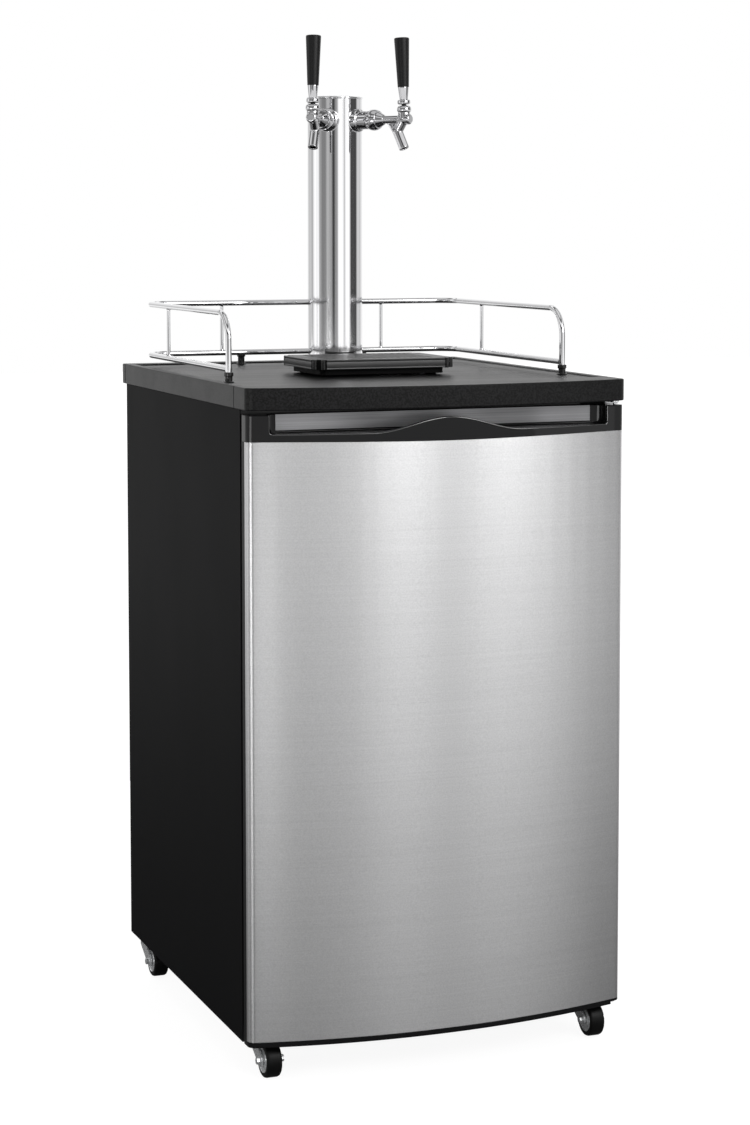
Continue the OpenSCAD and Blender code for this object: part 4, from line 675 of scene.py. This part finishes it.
back_black = clouded("back_black", {"Specular IOR Level": 0.16}, 700.0, (0.0055, 0.0055, 0.006),
                     (0.0085, 0.0085, 0.009), rough=0.42, swing=0.12, detail=2.0, depth=0.06 * MM)
door_back = eased("door_liner", 0.4 * MM, where=behind_skin)
back_face = max((f for f in door_back.faces if f.normal.y > 0.99), key=lambda f: f.calc_area())
for inset, rise in ((52.0 * MM, 0.0), (6.0 * MM, -1.2 * MM)):
    bmesh.ops.inset_region(door_back, faces=[back_face], thickness=inset, depth=rise,
                           use_even_offset=True)
place("door_back", door_back, "door", back_black, "dark_plastic", "door_liner")
dressed("door_seal", "door_gasket", "door", rubber, "black_rubber", 2.4 * MM, 3)


# Tower column: a stainless tube of 76 millimetres, welded to a round flange and polished bright. It
# stands on a rubber gasket, and four pan-head screws go through the flange into the deck.
def polished(spot):
    swirl = grain(spot, (40.0, 40.0, 9.0))
    streak = grain(spot, (300.0, 300.0, 1.2), 2.0).step(0.25, 0.75)
    return {"Base Color": streak.tint((0.66, 0.66, 0.67), (0.90, 0.90, 0.91)),
            "Roughness": 0.035 + 0.02 * swirl}


polish_lines = {"Metallic": 1.0, "Anisotropic": 0.95, "Anisotropic Rotation": 0.25}
polished_steel = finish("polished_steel", polish_lines, polished)
column_low, column_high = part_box("tower_column")
tower_at = Vector((0.5 * (column_low.x + column_high.x), 0.5 * (column_low.y + column_high.y), 0.0))
foot = column_low.z / MM
head = column_high.z / MM
tube_r, tube_in, flange_r, flange_t, screw_ring = 38.1, 36.6, 55.0, 4.0, 47.0 * MM
column = turned([(tube_in, foot), (flange_r, foot), (flange_r, foot + flange_t),
                 (41.0, foot + flange_t), (39.0, foot + 4.8), (tube_r, foot + 6.6), (tube_r, head),
                 (tube_in, head)], 128, 0.5, True)
place("tower_tube", moved(column, Matrix.Translation(tower_at)), "cabinet", polished_steel,
      "polished_steel", "tower_column")
dressed("tower_seat", "tower_gasket", "cabinet", rubber, "black_rubber", 0.5 * MM, 2, 50.0)
tower_screws = []
for degrees in (45.0, 135.0, 225.0, 315.0):
    angle = math.radians(degrees)
    at = tower_at + Vector((screw_ring * math.cos(angle), screw_ring * math.sin(angle),
                            (foot + flange_t) * MM))
    shank = turned([(2.4, -14.0), (2.4, 0.5), (0.0, 0.5)], 20)
    tower_screws.append(moved(shank, Matrix.Translation(at)))
    tower_screws.append(moved(pan_head(4.56, 2.5), Matrix.Translation(at)))
place("flange_screws", joined(tower_screws), "cabinet", polished_steel, "plain_steel", "tower_screws")


# Tower cap: a shallow dome spun from stainless sheet with a rolled rim, polished like the column and
# pushed into its top on a short plug.
plug_r, plug_l, dome_edge, dome_rise, rim_h, dome_steps = 36.5, 10.0, 39.3, 4.5, 2.5, 8
dome_r = (dome_edge ** 2 + dome_rise ** 2) / (2.0 * dome_rise)
dome = []
for count in range(dome_steps, -1, -1):
    angle = math.asin(dome_edge / dome_r) * count / dome_steps
    dome.append((dome_r * math.sin(angle), head + rim_h + dome_rise - dome_r * (1.0 - math.cos(angle))))
plug = [(0.0, head - plug_l), (plug_r, head - plug_l), (plug_r, head), (dome_edge, head)]
tower_cap = turned(plug + dome, 128, 0.8)
place("tower_top", moved(tower_cap, Matrix.Translation(tower_at)), "cabinet", polished_steel,
      "polished_steel", "tower_cap")


# Shanks: turned brass, chromed, each with a flared bezel drawn against the column and a plain barrel.
# A hexagon nut clamps it from inside, and a notched coupling nut holds the faucet to its end.
chrome = clouded("chrome", {"Metallic": 1.0}, 120.0, (0.52, 0.52, 0.53), (0.62, 0.62, 0.63), rough=0.02,
                 swing=0.03)
brass = clouded("brass", {"Metallic": 1.0}, 90.0, (0.40, 0.28, 0.10), (0.62, 0.47, 0.20), rough=0.24,
                swing=0.2, detail=4.0)
SIDES = {"left": -1.0, "right": 1.0}
faucet_z, faucet_spread, lever_out = 1.209, 35.0, 0.115
lying = Matrix.Rotation(math.pi / 2, 4, "Y")
faucet_frame = {}
for side, sign in SIDES.items():
    facing = Matrix.Rotation(math.radians(-90.0 + faucet_spread * sign), 4, "Z")
    faucet_frame[side] = Matrix.Translation(tower_at + Vector((0.0, 0.0, faucet_z))) @ facing
    barrel = turned([(4.0, 22.0), (10.0, 22.0), (10.0, 33.0), (16.0, 34.0), (16.0, 40.6), (15.2, 42.6),
                     (12.9, 44.6), (12.5, 46.0), (12.5, 57.9), (10.0, 57.9), (10.0, 62.0), (4.0, 62.0)],
                    64, 0.35, True)
    place("shank_barrel_" + side, moved(barrel, faucet_frame[side] @ lying), "cabinet", chrome,
          "polished_steel", "shank_" + side)
dressed("clamp_nuts", "shank_nuts", "cabinet", brass, "brass", 0.4 * MM)
dressed("coupling_rings", "coupling_nuts", "cabinet", chrome, "polished_steel", 0.5 * MM, 2, 38.0)


# Faucet bodies: cast brass, tumbled and chromed, so that every inside corner has a soft fillet: a bar, a
# round nose, a neck for the lever, and a spout on a bent pipe from the nose and a slim rib from the bar.
def cast(node, voxel, passes):
    """A copy of a solid cast over: wrapped in one skin of small faces and relaxed into fillets."""
    block = bpy.data.objects.new("block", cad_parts[node].data.copy())
    scene.collection.objects.link(block)
    wrap = block.modifiers.new("wrap", "REMESH")
    wrap.mode = "VOXEL"
    wrap.voxel_size = voxel
    skin = block.evaluated_get(bpy.context.evaluated_depsgraph_get()).to_mesh()
    shape = bmesh.new()
    shape.from_mesh(skin)
    bpy.data.objects.remove(block)
    for count in range(passes):
        bmesh.ops.smooth_vert(shape, verts=shape.verts, factor=0.5, use_axis_x=True, use_axis_y=True,
                              use_axis_z=True)
    return shape


for side in SIDES:
    place("faucet_casting_" + side, cast("faucet_body_" + side, 0.5 * MM, 5), "cabinet", chrome,
          "polished_steel", "faucet_body_" + side)


# Faucet bonnets and plungers: the bonnet is a turned ring that keeps the lever's ball in the neck, and
# the plunger is a steel rod with a rubber seal that the lever's tail slides in the bar.
plunger_steel = clouded("plunger_steel", {"Metallic": 1.0}, 300.0, (0.40, 0.40, 0.41),
                        (0.52, 0.52, 0.53), rough=0.22, swing=0.14)
for side in SIDES:
    neck = faucet_frame[side] @ Matrix.Translation((lever_out, 0.0, 0.0))
    bonnet = turned([(6.4, 9.5), (8.6, 9.5), (9.5, 10.6), (9.75, 12.4), (9.75, 14.0), (9.3, 16.0),
                     (8.3, 17.4), (7.0, 18.0), (6.4, 18.0)], 48, closed=True)
    place("bonnet_" + side, moved(bonnet, neck), "cabinet", chrome, "polished_steel",
          "faucet_bonnet_" + side)
    dressed("plunger_rod_" + side, "faucet_plunger_" + side, "plunger_" + side, plunger_steel,
            "plunger_steel", 0.3 * MM)


# Tap levers, ferrules and handles: a turned and chromed lever with a ball, a neck, a collar and a stud,
# a tapered ferrule screwed down on it, and a tapered handle of satin black plastic. The neck is coloured
# as black rubber: painted shade in the bonnet's slot.
handle_black = clouded("handle_black", {"Specular IOR Level": 0.25}, (60.0, 60.0, 20.0),
                       (0.0065, 0.0065, 0.0068), (0.0095, 0.0095, 0.010), rough=0.30, swing=0.12,
                       depth=0.05 * MM, height=lambda spot: grain(spot, (1400.0, 1400.0, 500.0)))
ball_r, ball_z, lever_lean = 6.1, 0.0135, -2.5
neck_foot, neck_top, neck_r = 5.2 * MM, 7.95 * MM, 7.3 * MM
ball = [(ball_r * math.cos(math.radians(t)), ball_r * math.sin(math.radians(t)))
        for t in range(-75, 60, 15)]


def shaded_neck(face, middle):
    """The lever's neck between the ball and the collar, coloured as black rubber for painted shade in
    the slot.
    """
    return neck_foot < middle.z < neck_top and math.hypot(middle.x, middle.y) < neck_r


for side in SIDES:
    lever = "lever_" + side
    lever_at = (faucet_frame[side] @ Matrix.Translation((lever_out, 0.0, ball_z))
                @ Matrix.Rotation(math.radians(lever_lean), 4, "Y"))
    tail = [(0.0, -15.8), (1.4, -15.3), (2.2, -14.2), (2.2, -13.0), (1.5, -11.8), (1.5, -6.0)]
    collar = [(3.2, 5.6), (3.2, 8.0), (6.8, 7.9), (7.6, 7.0), (8.3, 7.0), (8.8, 7.7), (8.85, 10.8),
              (8.4, 12.1), (7.4, 12.7), (3.5, 12.7), (3.5, 39.0), (0.0, 39.0)]
    stem = turned(tail + ball + collar, 40)
    # The neck's faces take the rubber's black: painted shade in the bonnet's slot.
    place("lever_stem_" + side, moved(marked(stem, shaded_neck), lever_at), lever, chrome, "polished_steel",
          "faucet_lever_" + side, second=rubber)
    ferrule = turned([(3.6, 12.7), (5.2, 12.7), (5.6, 13.3), (7.3, 28.6), (7.2, 29.7), (3.6, 29.7)], 40,
                     closed=True)
    place("ferrule_" + side, moved(ferrule, lever_at), lever, chrome, "polished_steel",
          "handle_ferrule_" + side)
    grip = turned([(3.6, 39.7), (3.6, 29.7), (7.2, 29.7), (7.7, 30.2), (8.8, 58.0), (10.3, 94.6),
                   (10.15, 95.6), (9.5, 96.35), (8.4, 96.7), (0.0, 96.7)], 56)
    place("grip_" + side, moved(grip, lever_at), lever, handle_black, "gloss_black",
          "tap_handle_" + side)


# Guard rail: two steel rods bent to a U, the upper one turned down into its front posts, with upright
# struts welded between them. The whole rail is chromed and stands in four black plastic feet.
upper_low, upper_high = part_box("rail_upper")
lower_low, lower_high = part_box("rail_lower")
rod = 4.0 * MM
rail_x = upper_high.x - rod
rail_back = upper_high.y - rod
post_y = upper_low.y + rod
rail_top = upper_high.z - rod
bend, corner = 37.0 * MM, 30.0 * MM
upright, across_x = (0.0, 0.0, 1.0), (1.0, 0.0, 0.0)
post_run = rail_top - bend - upper_low.z
side_run = rail_back - corner - post_y - bend
back_run = 2.0 * (rail_x - corner)
upper = bent_rod((-rail_x, post_y, upper_low.z), upright, rod, [
    post_run, ((-rail_x, post_y + bend, rail_top - bend), across_x, -90.0),
    side_run, ((-rail_x + corner, rail_back - corner, rail_top), upright, -90.0),
    back_run, ((rail_x - corner, rail_back - corner, rail_top), upright, -90.0),
    side_run, ((rail_x, post_y + bend, rail_top - bend), across_x, 90.0),
    post_run], 24)
rail_level = lower_high.z - rod
low_run = rail_back - corner - lower_low.y
lower = bent_rod((-rail_x, lower_low.y, rail_level), (0.0, 1.0, 0.0), rod, [
    low_run, ((-rail_x + corner, rail_back - corner, rail_level), upright, -90.0),
    back_run, ((rail_x - corner, rail_back - corner, rail_level), upright, -90.0),
    low_run], 24)
rail_chrome = clouded("rail_chrome", {"Metallic": 1.0}, 120.0, (0.74, 0.74, 0.75), (0.82, 0.82, 0.83),
                      rough=0.02, swing=0.03)
place("rail_top_rod", upper, "cabinet", rail_chrome, "polished_steel", "rail_upper")
place("rail_low_rod", lower, "cabinet", rail_chrome, "polished_steel", "rail_lower")
strut_y, strut_x = rail_back - 0.113, rail_x - 0.112
rise = (rail_top - rail_level) / MM
weld_end = [(0.0, 0.0), (3.6, 2.2), (3.2, 4.0), (2.5, 5.4)]
struts = []
for across, along in ((-rail_x, strut_y), (rail_x, strut_y), (-strut_x, rail_back),
                      (strut_x, rail_back)):
    strut = turned(weld_end + [(radius, rise - height) for radius, height in weld_end[::-1]], 20)
    struts.append(moved(strut, Matrix.Translation((across, along, rail_level))))
place("rail_uprights", joined(struts), "cabinet", rail_chrome, "polished_steel", "rail_struts")
gloss_black = clouded("gloss_black", {}, 80.0, (0.006, 0.006, 0.006), (0.010, 0.010, 0.010), rough=0.20,
                      swing=0.12)
dressed("rail_shoes", "rail_feet", "cabinet", gloss_black, "gloss_black", 0.5 * MM, 2, 40.0)


# Drip tray and grille: a moulded tray with a grooved band round it, a basin set in underneath and a pair
# of glossy posts on each cut corner. A slotted grille with a pebbled matt top drops into it.
tray_black = clouded("tray_black", {"Specular IOR Level": 0.7}, 40.0, (0.012, 0.012, 0.0125),
                     (0.020, 0.020, 0.0205), rough=0.24, swing=0.12, depth=0.05 * MM,
                     height=lambda spot: grain(spot, (30.0, 30.0, 700.0), 2.0))
# The basin's black is darker than the tray's: painted shade under the band. The cut corners take it too.
shade_and_corner_black = clouded("shade_and_corner_black", {"Specular IOR Level": 0.08}, 40.0, (0.003, 0.003, 0.003),
                      (0.005, 0.005, 0.005), rough=0.40, swing=0.15)
grille_black = clouded("grille_black", {}, 60.0, (0.045, 0.045, 0.046), (0.085, 0.085, 0.086),
                       rough=0.34, swing=0.14, depth=0.3 * MM,
                       height=lambda spot: pebbles(spot, 620.0, 0.4))
tray_low, tray_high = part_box("drip_tray")
tray_mid = 0.5 * (tray_low + tray_high)
tray_hx, tray_hy = tray_high.x - tray_mid.x, tray_high.y - tray_mid.y
CORNERS = [(-1.0, -1.0), (1.0, -1.0), (-1.0, 1.0), (1.0, 1.0)]
CUT, BAND = 16.0 * MM, 13.2 * MM
GRILLE_CUT = CUT + 6.5 * MM


def corners_cut(shape, cut):
    """Takes the corners off a shape of the tray's outline, so far along its sides."""
    for across, along in CORNERS:
        edge = Vector((tray_mid.x + across * (tray_hx - cut), tray_mid.y + along * tray_hy, 0.0))
        everything = shape.verts[:] + shape.edges[:] + shape.faces[:]
        done = bmesh.ops.bisect_plane(shape, geom=everything, dist=1e-6, plane_co=edge,
                                      plane_no=(across, along, 0.0), clear_outer=True)
        rim = [g for g in done["geom_cut"] if isinstance(g, bmesh.types.BMEdge)]
        bmesh.ops.holes_fill(shape, edges=rim, sides=0)
    return shape


def grooved(shape, low, high, depth):
    """Sinks a groove into the upright outer faces of a shape between two heights."""
    for height in (low, high):
        bmesh.ops.bisect_plane(shape, geom=shape.verts[:] + shape.edges[:] + shape.faces[:], dist=1e-6,
                               plane_co=(0.0, 0.0, height), plane_no=(0.0, 0.0, 1.0))
    chosen = []
    for face in shape.faces:
        middle = face.calc_center_median()
        out_x, out_y = abs(middle.x - tray_mid.x) / tray_hx, abs(middle.y - tray_mid.y) / tray_hy
        if low < middle.z < high and max(out_x, out_y) > 0.99 and abs(face.normal.z) < 0.1:
            chosen.append(face)
    bmesh.ops.inset_region(shape, faces=chosen, thickness=0.05 * MM, depth=-depth, use_even_offset=True)
    return shape


def below_band(face, middle):
    """The basin below the tray's band, darker as painted shade under the band, and the cut corners."""
    at_corner = abs(middle.x - tray_mid.x) > tray_hx - CUT and abs(middle.y - tray_mid.y) > tray_hy - CUT
    return at_corner or middle.z < tray_high.z - BAND


groove_sunk, post_aside, plate_back = 0.8 * MM, 6.2 * MM, 0.2
tray = corners_cut(eased("drip_tray", 0.7 * MM, 2, 40.0), CUT)
for low, high in ((2.4, 3.8), (10.0, 11.0)):
    grooved(tray, tray_high.z - high * MM, tray_high.z - low * MM, groove_sunk)
top = tray_high.z / MM
post_line = [(0.0, -13.4), (2.9, -13.4), (3.6, -12.6), (3.6, -0.8), (2.9, 0.0), (0.0, 0.0)]
corner_plates, posts = [], []
for across, along in CORNERS:
    corner_at = Matrix.Translation((tray_mid.x + across * (tray_hx - 0.5 * CUT),
                                    tray_mid.y + along * (tray_hy - 0.5 * CUT), 0.0))
    facing = corner_at @ Matrix.Rotation(math.atan2(along, across), 4, "Z")
    corner_plate = rounded_block((-4.0, -11.0, top - 13.0), (-plate_back, 11.0, top), 0.7)
    corner_plates.append(moved(corner_plate, facing))
    for aside in (-post_aside, post_aside):
        post = turned(post_line, 24)
        posts.append(moved(post, facing @ Matrix.Translation((-plate_back * MM, aside, tray_high.z))))
whole_tray = marked(joined([tray] + corner_plates), below_band)
place("tray", whole_tray, "tray", tray_black, "grille_black", "drip_tray", second=shade_and_corner_black)
place("tray_posts", joined(posts), "tray", gloss_black, "gloss_black")
grille = corners_cut(eased("drip_grille", 0.5 * MM, 2, 40.0), GRILLE_CUT)
place("grille", grille, "grille", grille_black, "grille_black", "drip_grille")


# Casters: a zinc-plated fork turns on its stem in a bushed socket under the base pan, and a moulded
# rubber wheel with a pressed steel disc on each side runs on a bolt through its legs.
def fork_leg(inner):
    """One leg of a fork: an outline rounded at the axle's eye and drawn out to the plate's thickness."""
    outline = [(-12.0, 43.5), (12.0, 43.5), (12.0, 35.5), (-24.4, 15.4), (-31.0, 13.6), (-37.6, 17.8),
               (-37.6, 26.0), (-34.0, 29.5)]
    eye, leg_t = slice(3, 7), 2.5
    shape = bmesh.new()
    rim = [shape.verts.new((inner * MM, across * MM, up_by * MM)) for across, up_by in outline]
    shape.faces.new(rim)
    rounded(shape, rim[eye], 3.0 * MM, 4, clamp=True, affect="VERTICES")
    drawn = bmesh.ops.extrude_face_region(shape, geom=shape.faces[:])["geom"]
    bmesh.ops.translate(shape, vec=(math.copysign(leg_t, inner) * MM, 0.0, 0.0),
                        verts=[g for g in drawn if isinstance(g, bmesh.types.BMVert)])
    bmesh.ops.recalc_face_normals(shape, faces=shape.faces)
    return rounded(shape, sharper(shape, 60.0), 0.5 * MM, 2)


def hexagon_head(radius, height):
    """A bolt head or nut with its edges eased."""
    shape = bmesh.new()
    bmesh.ops.create_cone(shape, cap_ends=True, segments=6, radius1=radius * MM, radius2=radius * MM,
                          depth=height * MM)
    return rounded(shape, shape.edges[:], 0.35 * MM, 2, clamp=True)


caster_zinc = clouded("caster_zinc", {"Metallic": 0.7}, 160.0, (0.74, 0.75, 0.76), (0.88, 0.89, 0.90),
                      rough=0.20, swing=0.16)
tyre_black = clouded("tyre_black", {"Specular IOR Level": 0.14}, 120.0, (0.003, 0.003, 0.003),
                     (0.006, 0.006, 0.006), rough=0.30, swing=0.2, detail=4.0, depth=0.04 * MM)
dressed("caster_bushes", "caster_sockets", "cabinet", caster_zinc, "plain_steel", 0.4 * MM, 2, 50.0)
trail, axle_z, head_out = 30.0 * MM, 22.0 * MM, 15.8 * MM
for where in ("front_left", "front_right", "rear_left", "rear_right"):
    wheel_low, wheel_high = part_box("caster_wheel_" + where)
    hub = 0.5 * (wheel_low + wheel_high)
    swivel = Vector((hub.x, hub.y + trail, 0.0))
    crown = rounded_block((-13.5, -12.0, 41.0), (13.5, 12.0, 43.5), 0.8)
    swivel_stem = turned([(0.0, 42.5), (11.4, 42.5), (12.0, 43.6), (12.0, 47.6), (11.0, 48.6),
                          (11.0, 50.0), (12.0, 51.0), (12.0, 58.7), (11.2, 59.7), (5.0, 59.7),
                          (5.0, 75.0), (4.4, 75.7), (0.0, 75.7)], 40)
    axle = turned([(0.0, -17.5), (3.0, -17.5), (3.0, 17.5), (0.0, 17.5)], 24)
    bolt = [moved(axle, Matrix.Translation((0.0, -trail, axle_z)) @ lying)]
    for aside in (-head_out, head_out):
        bolt.append(moved(hexagon_head(4.6, 4.3), Matrix.Translation((aside, -trail, axle_z)) @ lying))
    fork = joined([fork_leg(-11.0), fork_leg(11.0), crown, swivel_stem] + bolt)
    place("fork_" + where, moved(fork, Matrix.Translation(swivel)), "caster_" + where, caster_zinc,
          "plain_steel", "caster_fork_" + where)
    wheel_at = Matrix.Translation(hub) @ lying
    half = [(3.05, 10.0), (7.0, 10.0), (7.0, 8.0), (9.0, 7.6), (15.4, 8.2), (16.0, 10.0), (19.6, 10.0),
            (21.2, 8.8), (22.0, 6.6)]
    tyre = turned([(radius, -height) for radius, height in half] + half[::-1], 72, 0.35, True)
    place("wheel_" + where, moved(tyre, wheel_at), "wheel_" + where, tyre_black, "black_rubber",
          "caster_wheel_" + where)
    discs = []
    for flip in (0.0, math.pi):
        disc = turned([(6.8, 7.8), (15.4, 8.1), (15.9, 9.4), (15.4, 10.3), (14.6, 10.3), (14.0, 9.4),
                       (11.0, 8.9), (8.4, 9.4), (6.8, 10.2)], 48, closed=True)
        discs.append(moved(disc, wheel_at @ Matrix.Rotation(flip, 4, "X")))
    place("hub_discs_" + where, joined(discs), "wheel_" + where, caster_zinc, "plain_steel")
